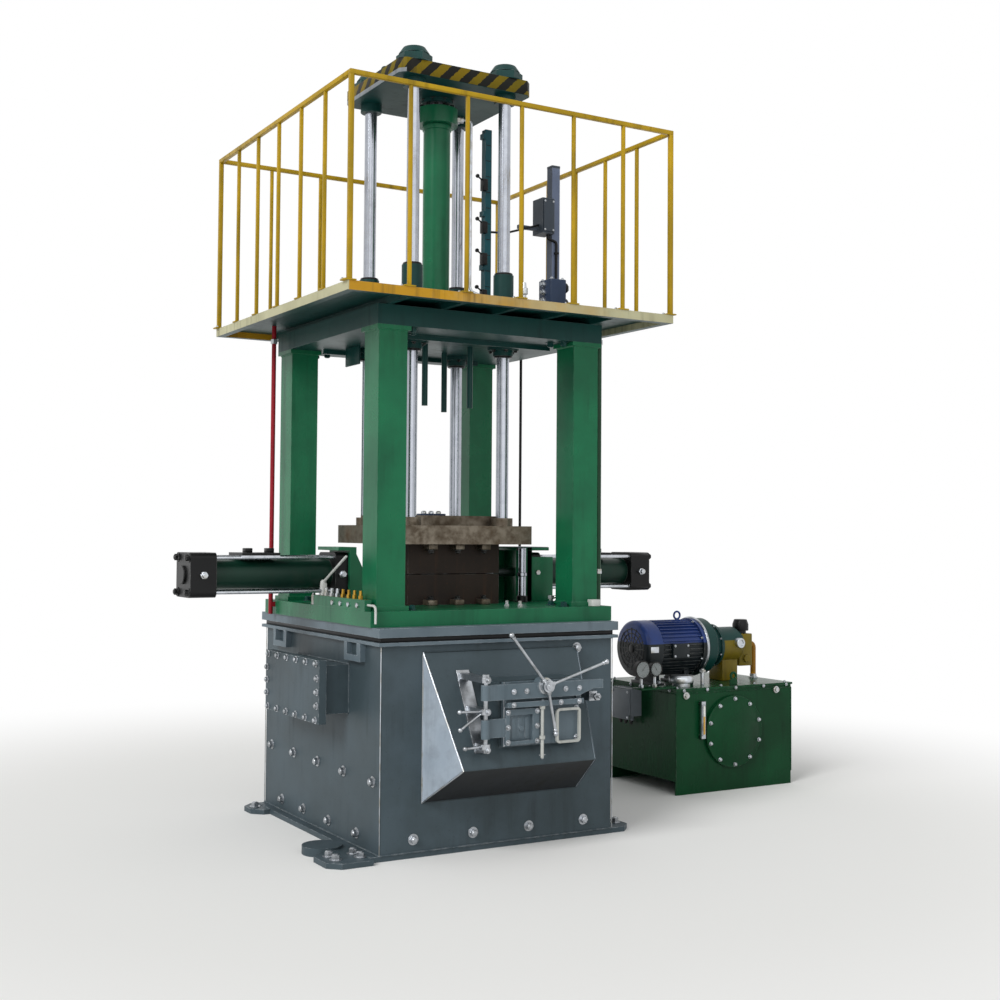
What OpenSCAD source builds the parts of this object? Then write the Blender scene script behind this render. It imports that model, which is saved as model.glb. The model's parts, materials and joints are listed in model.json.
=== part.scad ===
// Low pressure die casting machine: a holding furnace under a four column press,
// with a service deck on top and a hydraulic power unit at its right.
// Millimetres. +X runs to the right along the charging side, +Y to the back, +Z up.
// The origin is on the floor, under the centre of the furnace.

/* [Furnace] */
// Width of the furnace casing
furnace_w = 1500; // [1300:10:1700]
// Depth of the furnace casing
furnace_d = 1674; // [1500:10:1800]
// Height of the casing's top edge
furnace_h = 1140; // [1050:10:1250]
// Radius of the casing's upright corners
corner_r = 12; // [4:1:30]
// Height of the base frame under the casing
base_h = 30; // [20:1:50]
// How far the base frame stands out at the left and the right
base_proud = 56; // [20:2:70]
// Reach of the near left foot beyond the base frame
foot_long = 246; // [180:2:300]
// Reach of the other feet beyond the base frame
foot_short = 104; // [60:2:140]
// Width of a foot
foot_w = 236; // [160:2:300]
// Length of the cut corners of a foot
foot_cut = 64; // [30:2:80]
// Radius of the round lug behind the near left foot
lug_r = 110; // [80:2:130]
// Height of the round lug
lug_h = 46; // [31:1:70]
// Thickness of the lip plate under the neck
lip_t = 18; // [10:1:30]
// How far the lip and the top flange stand proud of the casing
lip_proud = 26; // [10:1:40]
// Height of the neck between lip and flange
neck_h = 27; // [15:1:50]
// Thickness of the top flange
flange_t = 50; // [30:1:80]

/* [Side of the furnace] */
// Height of the centre line of the side housing
side_z = 875; // [840:5:900]
// Height of the side housing
side_h = 270; // [200:5:320]
// Length of the side housing, front to back
side_len = 740; // [600:10:800]
// Distance of the side housing's middle in front of the furnace centre
side_y = 60; // [0:5:120]
// Reach of the side housing from the casing to its cover
side_reach = 150; // [100:5:200]
// Thickness of the housing's cover plate
cover_plate_t = 45; // [20:1:60]
// How far the cover plate stands out below and above the housing
cover_plate_lip = 40; // [15:1:50]
// Width of a lid clamp
clamp_w = 210; // [140:5:240]
// Height of a lid clamp
clamp_h = 100; // [70:1:110]
// Thickness of the clamp's bar
clamp_bar = 34; // [20:1:45]
// Radius of the bright rod in a lid clamp
clamp_rod_r = 13; // [8:1:16]
// Distance of the lid clamps from the furnace centre
clamp_y = 535; // [480:5:600]

/* [Charging hopper] */
// Width of the hopper where it meets the casing
hopper_w = 1000; // [900:10:1100]
// Width of the hopper at its nose
nose_w = 836; // [800:2:880]
// Reach of the nose in front of the casing
nose_reach = 313; // [280:1:350]
// Height of the nose edge
nose_z = 500; // [450:5:560]
// Height of the hopper's top edge
hopper_top = 1100; // [1040:5:1130]
// Height of the hopper's bottom edge
hopper_foot = 290; // [200:5:350]
// Distance of the mouth's left side from the hopper's middle
mouth_left = 175; // [165:5:200]
// Width of the charging mouth
mouth_w = 505; // [480:5:540]
// Distance of the mouth's front behind the nose
mouth_back = 50; // [30:5:60]
// Height of the mouth's top
mouth_top = 955; // [930:5:970]
// Width of the charging port
port_w = 400; // [300:10:420]
// Height of the charging port
port_h = 250; // [200:10:270]
// Height of the port's lower edge
port_z = 650; // [640:5:660]
// Depth of the charging port
port_depth = 165; // [100:5:180]

/* [Charging door] */
// Height of the door's lower edge
door_z = 607; // [602:1:620]
// Height of the door plate
door_h = 343; // [310:1:345]
// Thickness of the door plate
door_t = 25; // [16:1:30]
// Gap between the closed door and the mouth
door_gap = 5; // [5:0.5:8]
// How much narrower than the mouth the door is on each side
door_inset = 10; // [5:1:20]
// How far the raised frame stands in front of the door plate
frame_t = 20; // [12:1:24]
// Distance of the hinge pin left of the hopper's middle
hinge_x = 290; // [280:5:310]
// Distance of the hinge pin in front of the mouth
hinge_out = 55; // [45:1:65]
// Radius of the hinge pin
hinge_r = 12; // [8:1:15]
// Radius of a hinge knuckle
knuckle_r = 26; // [20:1:30]
// Height of a hinge ear
ear_t = 30; // [20:1:34]
// Height of the crossbar's lower edge
bar_z = 862; // [855:1:880]
// Height of the crossbar
bar_h = 82; // [60:1:90]
// Thickness of the crossbar, front to back
bar_t = 28; // [20:1:34]
// Height of the lower bar
bar_low_h = 28; // [20:1:34]
// Gap between the two bars
bar_gap = 16; // [8:1:24]
// Distance of the crossbar's hooked end from the hopper's middle
bar_end = 449; // [430:1:460]
// Distance of the catch stud from the hopper's middle
catch_x = 412; // [400:1:420]
// Height of the catch stud
catch_z = 848; // [835:1:852]
// Radius of the catch stud
catch_r = 14; // [10:1:16]
// Distance of the press screw from the hopper's middle
star_x = 66; // [40:2:90]
// Height of the press screw
star_z = 926; // [910:2:930]
// Radius of the press screw
screw_r = 20; // [14:1:24]
// Radius of the boss round the press screw
boss_r = 46; // [38:1:50]
// Radius of the hub of the star handle
hub_r = 34; // [28:1:40]
// Radius of an arm of the star handle
arm_r = 8; // [6:0.5:10]
// Radius of the balls on the arms' ends
ball_r = 15; // [11:0.5:16]
// Length of the star handle's longest arm
arm_len = 400; // [300:5:410]

/* [Press bed and columns] */
// How far the press bed stands out beyond the columns
bed_lip = 62; // [40:2:90]
// Thickness of the press bed
bed_t = 85; // [60:5:120]
// Width between the outer faces of the columns
col_span_x = 1450; // [1400:10:1480]
// Depth between the outer faces of the columns
col_span_y = 1430; // [1390:10:1460]
// Width of a column
col_w = 174; // [150:2:200]
// Depth of a column
col_d = 182; // [150:2:210]
// Thickness of a column's foot plate and cap plate
col_plate = 24; // [16:1:40]
// How far a column's plates stand out round it
col_plate_lip = 16; // [8:1:24]
// Height of the underside of the crosshead above the floor
head_z = 2885; // [2700:5:3000]
// Thickness of the crosshead
head_t = 111; // [80:1:140]

/* [Service deck] */
// Width of the deck
deck_w = 2104; // [1900:10:2300]
// Depth of the deck
deck_d = 2044; // [1900:10:2200]
// Depth of the deck's edge channel
deck_edge = 50; // [40:1:70]
// Thickness of the deck plate
deck_plate = 12; // [6:1:20]
// Width of the edge channel's flange
edge_w = 46; // [30:2:60]
// Height of the railing above the deck
rail_h = 1103; // [1000:1:1200]
// Side of the square railing tube
rail_tube = 38; // [30:1:50]
// Bays along the front and the back
rail_bays_x = 6; // [4:1:8]
// Bays along the left and the right
rail_bays_y = 6; // [4:1:8]

/* [Guide rods and moving platen] */
// Radius of a guide rod
rod_r = 38; // [30:1:45]
// Distance between the guide rods along X
rod_dx = 626; // [580:2:660]
// Distance between the guide rods along Y
rod_dy = 590; // [560:2:620]
// Height of the moving platen's underside, die closed
platen_z = 1680; // [1640:5:1740]
// Thickness of the moving platen
platen_t = 110; // [80:5:140]
// Width of the moving platen
platen_w = 900; // [860:10:960]
// Depth of the moving platen
platen_d = 840; // [800:10:900]
// Height of the collars round the guide rods
rod_collar_h = 48; // [30:1:70]
// Radius of the collars round the guide rods
rod_collar_r = 66; // [55:1:80]
// Height of the top plate's underside, die closed
top_z = 4426; // [4390:2:4500]
// Thickness of the top plate
top_t = 116; // [90:1:150]
// Length of the top plate's cut corners
top_cut = 36; // [15:1:60]
// Width of the top plate
top_w = 896; // [840:4:960]
// Depth of the top plate
top_d = 800; // [740:4:900]
// Height of a guide bush above the deck
bush_h = 274; // [200:2:320]
// Outer radius of a guide bush
bush_r = 62; // [55:1:75]
// Radius of a guide bush's flange
bush_flange_r = 96; // [85:1:110]
// Thickness of a guide bush's flange
bush_flange_t = 26; // [16:1:36]
// Across the corners of the big nut on the top plate
nut_r = 108; // [90:1:120]
// Height of the big nut
nut_h = 56; // [40:1:70]
// Radius of the small nut and rod end above it
nut_tip_r = 62; // [50:1:80]
// Height of the small nut
nut_tip_h = 38; // [25:1:50]

/* [Lift cylinder] */
// Outer radius of the lift cylinder
lift_r = 95; // [85:1:110]
// Wall of the lift cylinder
lift_wall = 15; // [10:1:20]
// Height of the lift cylinder's head above the floor
lift_head_z = 4270; // [4200:5:4300]
// Thickness of the lift cylinder's head
lift_head_t = 100; // [70:5:110]
// Radius of the lift cylinder's head
lift_head_r = 128; // [110:2:140]
// Radius of the lift rod
lift_rod_r = 55; // [45:1:65]
// Thickness of the piston
piston_t = 80; // [50:5:100]

/* [Die and knock-out bars] */
// Width of the die halves
die_w = 620; // [540:10:660]
// Depth of the die halves
die_d = 540; // [480:10:600]
// Height of the lower half of the die
die_low_h = 180; // [150:5:200]
// Gap between the two halves when closed
die_gap = 5; // [5:1:8]
// Radius of a knock-out bar
knock_r = 18; // [14:1:22]
// Height of the lower end of the knock-out bars
knock_end = 2510; // [2480:5:2560]
// Distance between the knock-out bars along X
knock_dx = 310; // [260:5:340]
// Distance between the knock-out bars along Y
knock_dy = 330; // [280:5:360]

/* [Core cylinders] */
// Reach of the left core cylinder from the machine's centre
core_reach_left = 1570; // [1500:5:1650]
// Reach of the right core cylinder from the machine's centre
core_reach_right = 1634; // [1500:5:1680]
// Distance of the core brackets' outer face from the centre
core_face = 625; // [610:5:650]
// Thickness of a core bracket's upright
core_plate_t = 40; // [30:1:50]
// Width of a core bracket
core_plate_w = 300; // [260:10:340]
// Height of a core bracket above the bed
core_plate_h = 340; // [320:5:380]
// Side of the cylinder's square caps
core_cap = 250; // [230:5:270]
// Length of the rear cap
core_cap_rear = 150; // [100:5:200]
// Length of the front cap
core_cap_front = 80; // [60:5:120]
// Outer radius of a core cylinder's tube
core_r = 84; // [70:1:90]
// Wall of a core cylinder's tube
core_wall = 14; // [8:1:18]
// Distance of the tie rods from the cylinder's axis, each way
core_tie = 97; // [93:1:100]
// Radius of a tie rod
core_tie_r = 11; // [8:1:14]
// Radius of a core rod
core_rod_r = 28; // [22:1:34]
// Width of the core block beside the die
core_block_w = 180; // [140:5:200]
// Height of the core block beside the die
core_block_h = 120; // [90:5:130]
// Thickness of the core block
core_block_t = 60; // [40:5:70]
// Thickness of a bracket's side ribs
gusset_t = 20; // [12:1:30]
// Reach of a bracket's side ribs towards the die, at their foot
gusset_reach = 150; // [100:5:180]
// Length of the switch rail over a core cylinder
rail_len = 230; // [150:5:300]

/* [Pipes and fittings] */
// Radius of the red supply pipe
pipe_r = 14; // [10:1:20]
// Distance of the red supply pipe behind the machine's centre
pipe_y = 620; // [560:5:680]
// Gap between the vertical pipes and the bed's edge
pipe_gap = 12; // [5:1:30]
// Radius of the thin pipe behind the right columns
thin_r = 9; // [6:1:14]
// Distance of the thin pipe behind the machine's centre
thin_y = 300; // [200:10:400]
// Radius of the return pipe at the right front
return_r = 20; // [14:1:26]
// Distance of the return pipe in front of the machine's centre
return_y = 460; // [400:10:520]
// Gap between the return pipe and the bed's edge
return_gap = 100; // [60:5:130]
// Length of the fitting manifold
manifold_len = 700; // [500:10:760]
// Height of the fitting manifold
manifold_h = 60; // [40:2:80]
// Depth of the fitting manifold
manifold_d = 40; // [30:1:43]
// Side of the scale bar
scale_w = 46; // [30:1:60]
// Height of the scale bar's top
scale_top = 4300; // [4200:5:4340]
// Width of the valve block on the deck
valve_w = 150; // [100:5:200]
// Depth of the valve block on the deck
valve_d = 120; // [80:5:150]
// Height of the valve block on the deck
valve_h = 140; // [100:5:180]
// Distance of the valve block right of the machine's centre
valve_x = 760; // [700:5:800]
// Distance of the valve block in front of the machine's centre
valve_y = 260; // [200:10:300]
// Side of the square control post
post_w = 60; // [40:2:80]
// Distance of the control post right of the machine's centre
post_x = 870; // [850:5:900]
// Distance of the control post behind the machine's centre
post_y = 10; // [0:5:100]
// Width of the junction box on the post
junction_w = 90; // [60:5:120]
// Height of the junction box
junction_h = 230; // [160:5:280]
// Depth of the junction box
junction_d = 120; // [80:5:150]
// Height of the junction box's foot above the deck
junction_z = 640; // [500:10:760]

/* [Power unit] */
// Left face of the oil tank, from the machine's centre
tank_x = 1790; // [1740:10:1900]
// Width of the oil tank
tank_w = 1020; // [900:10:1200]
// Front face of the oil tank, in front of the machine's centre
tank_y = -120; // [-300:10:0]
// Depth of the oil tank
tank_d = 780; // [700:10:900]
// Height of the oil tank
tank_h = 710; // [600:10:800]
// Height of the open space under the tank
tank_clear = 90; // [60:5:120]
// Thickness of the tank's end plates
tank_end_t = 12; // [8:1:20]
// How far the tank's lid stands out round it
tank_lid_lip = 8; // [4:1:20]
// Thickness of the tank's lid
tank_lid_t = 14; // [8:1:20]
// Radius of the round inspection cover
cover_r = 250; // [200:5:270]
// Thickness of the inspection cover
cover_t = 16; // [10:1:24]
// Radius of the motor's body
motor_r = 122; // [100:1:140]
// Length of the motor's body
motor_len = 390; // [300:10:420]
// Height of the motor's axis above the floor
motor_z = 1060; // [1000:5:1100]
// Distance of the motor's axis behind the tank's front face
motor_back = 390; // [340:10:450]
// Radius of the bell housing
bell_r = 130; // [110:1:150]
// Length of the bell housing
bell_len = 170; // [140:5:220]
// Radius of the pump
pump_r = 92; // [80:1:110]
// Length of the pump
pump_len = 200; // [160:5:260]
// Length of the motor's fan cowl
cowl_len = 80; // [50:5:100]
// Number of fins round the motor
fin_count = 20; // [12:1:28]
// Depth of a fin
fin_h = 16; // [8:1:20]
// Side of the pressure valve behind the pump
press_valve = 120; // [90:5:140]
// Radius of the delivery pipe
delivery_r = 20; // [14:1:26]
// Reach of the terminal box from the tank
terminal_reach = 90; // [60:5:120]
// Width of the terminal box
terminal_w = 220; // [160:10:260]
// Height of the terminal box
terminal_h = 190; // [140:5:220]
// Height of the terminal box's lower edge
terminal_z = 486; // [450:2:500]
// Width of the sight gauge
sight_w = 34; // [24:1:50]
// Height of the sight gauge
sight_h = 250; // [180:5:300]
// Distance of the sight gauge from the tank's left side
sight_x = 205; // [170:5:220]

/* [Hidden] */
$fn = 64;
run_gap = 0.3;
slide_gap = 5;
lip_top = furnace_h + lip_t;
neck_top = lip_top + neck_h;
flange_top = neck_top + flange_t;
bed_top = flange_top + bed_t;
head_top = head_z + head_t;
deck_top = head_top + deck_edge;
col_x = (col_span_x - col_w) / 2;
col_y = (col_span_y - col_d) / 2;
rod_x = rod_dx / 2;
rod_y = rod_dy / 2;
platen_top = platen_z + platen_t;
top_top = top_z + top_t;
bed_w = col_span_x + 2 * bed_lip;
bed_d = col_span_y + 2 * bed_lip;
face_y = furnace_d / 2;
base_x = furnace_w / 2 + base_proud;
rise = hopper_top - nose_z;
slope_angle = atan2(rise, nose_reach);
mouth_y = face_y + nose_reach - mouth_back;
mouth_foot = nose_z + mouth_back * rise / nose_reach;
mouth_mid = mouth_w / 2 - mouth_left;
door_w = mouth_w - 2 * door_inset;
door_left = door_inset - mouth_left;
door_y = mouth_y + door_gap + door_t;
bar_y = door_y + frame_t;
hinge_y = mouth_y + hinge_out;
bar_low_z = bar_z - bar_gap - bar_low_h;
boss_y = bar_y + bar_t + 8;
ear_low = door_z - 3;
ear_mid = bar_low_z - ear_t;
ear_high = bar_z + bar_h + 12;
die_top = bed_top + die_low_h;
core_z = die_top + die_gap / 2;
core_block_in = die_w / 2 + slide_gap;
tank_mid_x = tank_x + tank_w / 2;
motor_y = tank_y + motor_back;

// A block centred on x and y, standing on z
module block(w, d, h, z = 0) {
    translate([-w / 2, -d / 2, z]) cube([w, d, h]);
}

// Places a child at the four corners of a rectangle
module at_corners(dx, dy) {
    for (sx = [-1, 1], sy = [-1, 1]) translate([sx * dx / 2, sy * dy / 2, 0]) children();
}

// Places a child on the sloped plate: x across, s up the slope from the nose, h above it
module on_slope(x = 0, s = 0, h = 0) {
    translate([0, -face_y - nose_reach, nose_z])
        rotate([slope_angle, 0, 0]) translate([x, s, h]) children();
}

// A square with rounded corners
module round_square(w, d, r) {
    square([w - 2 * r, d], center = true);
    square([w, d - 2 * r], center = true);
    for (sx = [-1, 1], sy = [-1, 1])
        translate([sx * (w / 2 - r), sy * (d / 2 - r)]) circle(r);
}

// One foot: a flat pad with cut corners, reaching out along X
module foot(reach, out, h) {
    linear_extrude(h) polygon([[0, -foot_w / 2 - out], [reach - foot_cut, -foot_w / 2 - out],
        [reach, foot_cut - foot_w / 2 - out], [reach, foot_w / 2 - foot_cut],
        [reach - foot_cut, foot_w / 2], [0, foot_w / 2]]);
}

module furnace_body() {
    foot_y = furnace_d / 2 - foot_w / 2;
    near_out = 54;
    color("dimgray") {
        linear_extrude(furnace_h) round_square(furnace_w, furnace_d, corner_r);
        block(2 * base_x, furnace_d, base_h);
        translate([-base_x, -foot_y, 0]) mirror([1, 0, 0]) foot(foot_long, near_out, base_h);
        translate([-base_x, -foot_y + foot_w / 2 + lug_r, 0]) {
            translate([-foot_long / 2, 0, 0]) cylinder(r = lug_r, h = lug_h);
            translate([-foot_long / 2, -lug_r, 0]) cube([foot_long / 2, 2 * lug_r, base_h]);
        }
        translate([-base_x, foot_y, 0]) mirror([1, 0, 0]) foot(foot_short, 0, base_h);
        translate([base_x, -foot_y, 0]) foot(foot_short, 0, base_h);
        translate([base_x, foot_y, 0]) foot(foot_short, 0, base_h);
    }
}

module furnace_flange() {
    color("slategray") {
        block(furnace_w + 2 * lip_proud, furnace_d + 2 * lip_proud, lip_t, furnace_h);
        block(furnace_w, furnace_d, neck_h, lip_top);
        block(furnace_w + 2 * lip_proud, furnace_d + 2 * lip_proud, flange_t, neck_top);
    }
}

// The hopper's outer form: a wedge that narrows towards its nose
module hopper_form() {
    half = hopper_w / 2;
    tip = nose_w / 2;
    polyhedron(
        points = [
            [-half, -face_y, hopper_foot], [half, -face_y, hopper_foot],
            [half, -face_y, hopper_top], [-half, -face_y, hopper_top],
            [-tip, -face_y - nose_reach, nose_z], [tip, -face_y - nose_reach, nose_z]],
        faces = [[1, 2, 3, 0], [4, 5, 1, 0], [2, 5, 4, 3], [3, 4, 0], [5, 2, 1]]);
}

module charging_hopper() {
    color("gray") difference() {
        union() {
            hopper_form();
            translate([-mouth_left, -mouth_y, mouth_foot - 5])
                cube([mouth_w, mouth_y - face_y, mouth_top - mouth_foot + 5]);
        }
        translate([mouth_mid - port_w / 2, -mouth_y - 1, port_z])
            cube([port_w, port_depth + 1, port_h]);
    }
}

// Cuts a child off where it would run into the sloped plate
module above_slope() {
    difference() {
        children();
        on_slope(-hopper_w / 2, -100, -400) cube([hopper_w, 1000, 400]);
    }
}

// A short lever with a ball on its end, from one x and z to another
module lever(x1, z1, x2, z2) {
    len = sqrt((x2 - x1) * (x2 - x1) + (z2 - z1) * (z2 - z1));
    translate([x1, -hinge_y + 15, z1]) rotate([0, atan2(x2 - x1, z2 - z1), 0]) {
        cylinder(r = arm_r - 1, h = len);
        translate([0, 0, len]) sphere(r = ball_r - 2);
    }
}

// The fixed side of the hinge with its pin and levers, and the catch for the hooked bar
module door_mounts() {
    catch_foot = 26;
    color("silver") {
        above_slope() for (z = [ear_low, ear_mid, ear_high]) {
            translate([-hinge_x - knuckle_r, -hinge_y, z])
                cube([2 * knuckle_r, hinge_y - face_y - 40, ear_t]);
            translate([-hinge_x, -hinge_y, z]) cylinder(r = knuckle_r, h = ear_t);
        }
        on_slope(-hinge_x - 40, 90, 0) cube([80, 470, 10]);
        translate([-hinge_x, -hinge_y, ear_low - 14])
            cylinder(r = hinge_r, h = ear_high + ear_t + 28 - ear_low);
        translate([-hinge_x, -hinge_y, ear_high + ear_t]) cylinder(r = 20, h = 14, $fn = 6);
        lever(-hinge_x - 10, ear_mid + ear_t / 2, -439, 808);
        lever(-hinge_x - 10, ear_mid + 10, -434, 714);
        lever(-hinge_x - 10, ear_low + 14, -404, 614);
        above_slope() translate([catch_x - catch_foot, -bar_y + 15, catch_z - catch_foot])
            cube([2 * catch_foot, bar_y - face_y - 15, 2 * catch_foot]);
        translate([catch_x, -bar_y + 15, catch_z]) rotate([90, 0, 0])
            cylinder(r = catch_r, h = bar_t + 17);
        translate([catch_x, -bar_y - 16, catch_z]) rotate([90, 0, 0])
            cylinder(r = catch_r + 8, h = 16, $fn = 6);
    }
}

// The upright crossbar's outline: straight, then cut away below to hook over the catch
module hook_bar() {
    bend = catch_x - 120;
    translate([0, -bar_y, 0]) rotate([90, 0, 0]) linear_extrude(bar_t)
        polygon([[-hinge_x, bar_z], [bend, bar_z], [bend + 90, bar_z + 34], [bar_end, bar_z + 34],
            [bar_end, bar_z + bar_h], [-hinge_x, bar_z + bar_h]]);
}

// The loop handle: a flat ring with round corners, standing off the door on two feet
module loop_handle() {
    loop_w = 158;
    loop_h = 190;
    loop_x = 230;
    loop_z = door_z + loop_h / 2;
    translate([loop_x, -bar_y - 3, loop_z]) rotate([90, 0, 0]) linear_extrude(14) difference() {
        round_square(loop_w, loop_h, 22);
        round_square(loop_w - 28, loop_h - 28, 10);
    }
    for (z = [loop_z - 60, loop_z + 40])
        translate([loop_x - loop_w / 2, -bar_y - 3, z]) cube([14, frame_t + 3, 20]);
}

module charging_door() {
    window_x = door_left + 27;
    window_z = door_z + 28;
    rod_x0 = star_x - 6;
    color("gray") {
        translate([door_left, -door_y, door_z]) cube([door_w, door_t, door_h]);
        difference() {
            translate([door_left + 4, -bar_y, door_z + 10]) cube([211, frame_t, 188]);
            translate([window_x, -bar_y - 1, window_z]) cube([146, frame_t + 1, 138]);
        }
        for (x = [door_left, door_left + door_w - 30])
            translate([x, -bar_y, bar_low_z]) cube([30, frame_t, bar_z + bar_h - bar_low_z]);
        translate([door_left, -bar_y - bar_t, bar_low_z]) cube([door_w, bar_t, bar_low_h]);
        difference() {
            union() {
                hook_bar();
                translate([-hinge_x, -hinge_y, bar_z]) cylinder(r = knuckle_r, h = bar_h);
                translate([-hinge_x, -hinge_y, door_z + 53]) cylinder(r = knuckle_r - 2, h = 100);
                translate([-hinge_x, -door_y - 15, door_z + 53])
                    cube([hinge_x + door_left + 14, 15, 100]);
                translate([star_x, -door_y, star_z]) rotate([90, 0, 0])
                    cylinder(r = boss_r, h = boss_y - door_y);
            }
            translate([-hinge_x, -hinge_y, door_z]) cylinder(r = hinge_r + run_gap, h = door_h);
            translate([star_x, -door_y, star_z]) rotate([90, 0, 0])
                cylinder(r = screw_r + run_gap, h = boss_y - door_y + 1);
        }
        translate([rod_x0, -bar_y - bar_t / 2, bar_low_z - 280])
            cylinder(r = 9, h = 280 + bar_low_h + 4);
        for (z = [bar_low_z - 180, bar_low_z - 18])
            translate([rod_x0, -bar_y - bar_t / 2, z]) cylinder(r = 17, h = 18, $fn = 6);
        loop_handle();
    }
}

module star_handle() {
    tip = door_y + run_gap;
    hub_y = boss_y + slide_gap;
    arms = [[129.5, arm_len - 37], [16.8, arm_len], [-78.6, arm_len - 137]];
    color("silver") translate([star_x, 0, star_z]) rotate([90, 0, 0]) {
        translate([0, 0, tip]) cylinder(r = screw_r, h = hub_y - tip);
        translate([0, 0, hub_y]) cylinder(r = hub_r, h = 34);
        translate([0, 0, hub_y + 34]) cylinder(r = hub_r - 12, h = 10);
        for (a = arms) rotate([0, 0, a[0]]) translate([0, 0, hub_y + 17]) rotate([0, 90, 0]) {
            cylinder(r = arm_r, h = a[1]);
            translate([0, 0, a[1]]) sphere(r = ball_r);
        }
    }
}

module lid_clamps() {
    color("darkgray") for (sy = [-1, 1])
        translate([-furnace_w / 2 - clamp_bar, sy * clamp_y - clamp_w / 2, furnace_h - clamp_h]) {
            difference() {
                cube([clamp_bar, clamp_w, clamp_h]);
                translate([-1, clamp_bar, clamp_bar])
                    cube([clamp_bar + 2, clamp_w - 2 * clamp_bar, clamp_h]);
            }
            translate([clamp_bar / 2, clamp_bar + clamp_rod_r + 5, clamp_bar])
                cylinder(r = clamp_rod_r, h = clamp_h - clamp_bar);
        }
}

// A housing along the left side, closed by a thick bolted cover plate
module side_housing() {
    plate_h = side_h + 2 * cover_plate_lip;
    plate_len = side_len + 2 * cover_plate_lip - 20;
    color("slategray") {
        translate([-furnace_w / 2 - side_reach, -side_y - side_len / 2, side_z - side_h / 2])
            cube([side_reach, side_len, side_h]);
        translate([-furnace_w / 2 - side_reach - cover_plate_t, -side_y - plate_len / 2,
            side_z - plate_h / 2 - 10]) cube([cover_plate_t, plate_len, plate_h]);
    }
}

module press_bed() {
    color("seagreen") block(bed_w, bed_d, bed_t, flange_top);
}

module column() {
    plate_w = col_w + 2 * col_plate_lip;
    plate_d = col_d + 2 * col_plate_lip;
    block(col_w, col_d, head_z - bed_top, bed_top);
    block(plate_w, plate_d, col_plate, bed_top);
    block(plate_w, plate_d, col_plate, head_z - col_plate);
}

module columns() {
    color("seagreen") at_corners(2 * col_x, 2 * col_y) column();
}

module rod_holes(r, z, h) {
    at_corners(rod_dx, rod_dy) translate([0, 0, z]) cylinder(r = r, h = h);
}

module crosshead() {
    color("darkgreen") difference() {
        union() {
            block(col_span_x + 2 * col_plate_lip, col_span_y + 2 * col_plate_lip, head_t, head_z);
            for (s = [-1, 1]) translate([0, s * (col_y - col_d), 0])
                block(col_span_x - 2 * col_w, 24, 26, head_z - 26);
        }
        rod_holes(bush_r + run_gap, head_z - 1, head_t + 2);
    }
}

module deck() {
    inner_w = deck_w - 2 * edge_w;
    inner_d = deck_d - 2 * edge_w;
    joist = (deck_w - 2 * edge_w) / 6;
    color("goldenrod") difference() {
        union() {
            block(deck_w, deck_d, deck_plate, deck_top - deck_plate);
            difference() {
                block(deck_w, deck_d, deck_edge, head_top);
                block(inner_w, inner_d, deck_edge + 2, head_top - 1);
            }
            for (i = [-2:2]) translate([i * joist, 0, 0])
                block(30, inner_d + 2, deck_edge - deck_plate, head_top);
        }
        rod_holes(bush_r + run_gap, head_top - 1, deck_edge + 2);
    }
}

// One straight railing of posts and a top rail, centred on its length
module railing(len, bays, corner) {
    pitch = (len - rail_tube) / bays;
    first = corner ? 0 : 1;
    last = corner ? bays : bays - 1;
    cut = corner ? 0 : rail_tube;
    for (i = [first:last])
        translate([-len / 2 + i * pitch, -rail_tube / 2, deck_top])
            cube([rail_tube, rail_tube, rail_h - rail_tube]);
    translate([-len / 2 + cut, -rail_tube / 2, deck_top + rail_h - rail_tube])
        cube([len - 2 * cut, rail_tube, rail_tube]);
}

rail_y = deck_d / 2 - rail_tube / 2;
rail_x = deck_w / 2 - rail_tube / 2;

module railing_front() {
    color("gold") translate([0, -rail_y, 0]) railing(deck_w, rail_bays_x, true);
}

module railing_back() {
    color("gold") translate([0, rail_y, 0]) railing(deck_w, rail_bays_x, true);
}

module railing_left() {
    color("gold") translate([-rail_x, 0, 0]) rotate([0, 0, 90])
        railing(deck_d, rail_bays_y, false);
}

module railing_right() {
    color("gold") translate([rail_x, 0, 0]) rotate([0, 0, 90])
        railing(deck_d, rail_bays_y, false);
}

module guide_bushes() {
    collar = 60;
    color("darkgreen") at_corners(rod_dx, rod_dy) difference() {
        union() {
            translate([0, 0, head_z - collar]) cylinder(r = bush_r, h = deck_top + bush_h - head_z + collar);
            translate([0, 0, deck_top]) cylinder(r = bush_flange_r, h = bush_flange_t);
            translate([0, 0, head_z - bush_flange_t]) cylinder(r = bush_flange_r, h = bush_flange_t);
        }
        translate([0, 0, head_z - collar - 1])
            cylinder(r = rod_r + run_gap, h = deck_top + bush_h - head_z + collar + 2);
    }
}

lift_floor = deck_top + 40;
piston_z = lift_floor + 20;

module lift_cylinder() {
    color("seagreen") difference() {
        union() {
            translate([0, 0, deck_top]) cylinder(r = lift_head_r, h = 30);
            translate([0, 0, deck_top]) cylinder(r = lift_r, h = lift_head_z - deck_top);
            translate([0, 0, lift_head_z]) cylinder(r = lift_head_r, h = lift_head_t);
        }
        translate([0, 0, lift_floor]) cylinder(r = lift_r - lift_wall, h = lift_head_z - lift_floor);
        translate([0, 0, lift_head_z - 1]) cylinder(r = lift_rod_r + run_gap, h = lift_head_t + 2);
    }
}

module lift_rod() {
    color("silver") {
        translate([0, 0, piston_z]) cylinder(r = lift_rod_r, h = top_z - piston_z);
        translate([0, 0, piston_z]) cylinder(r = lift_r - lift_wall - run_gap, h = piston_t);
    }
}

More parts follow.
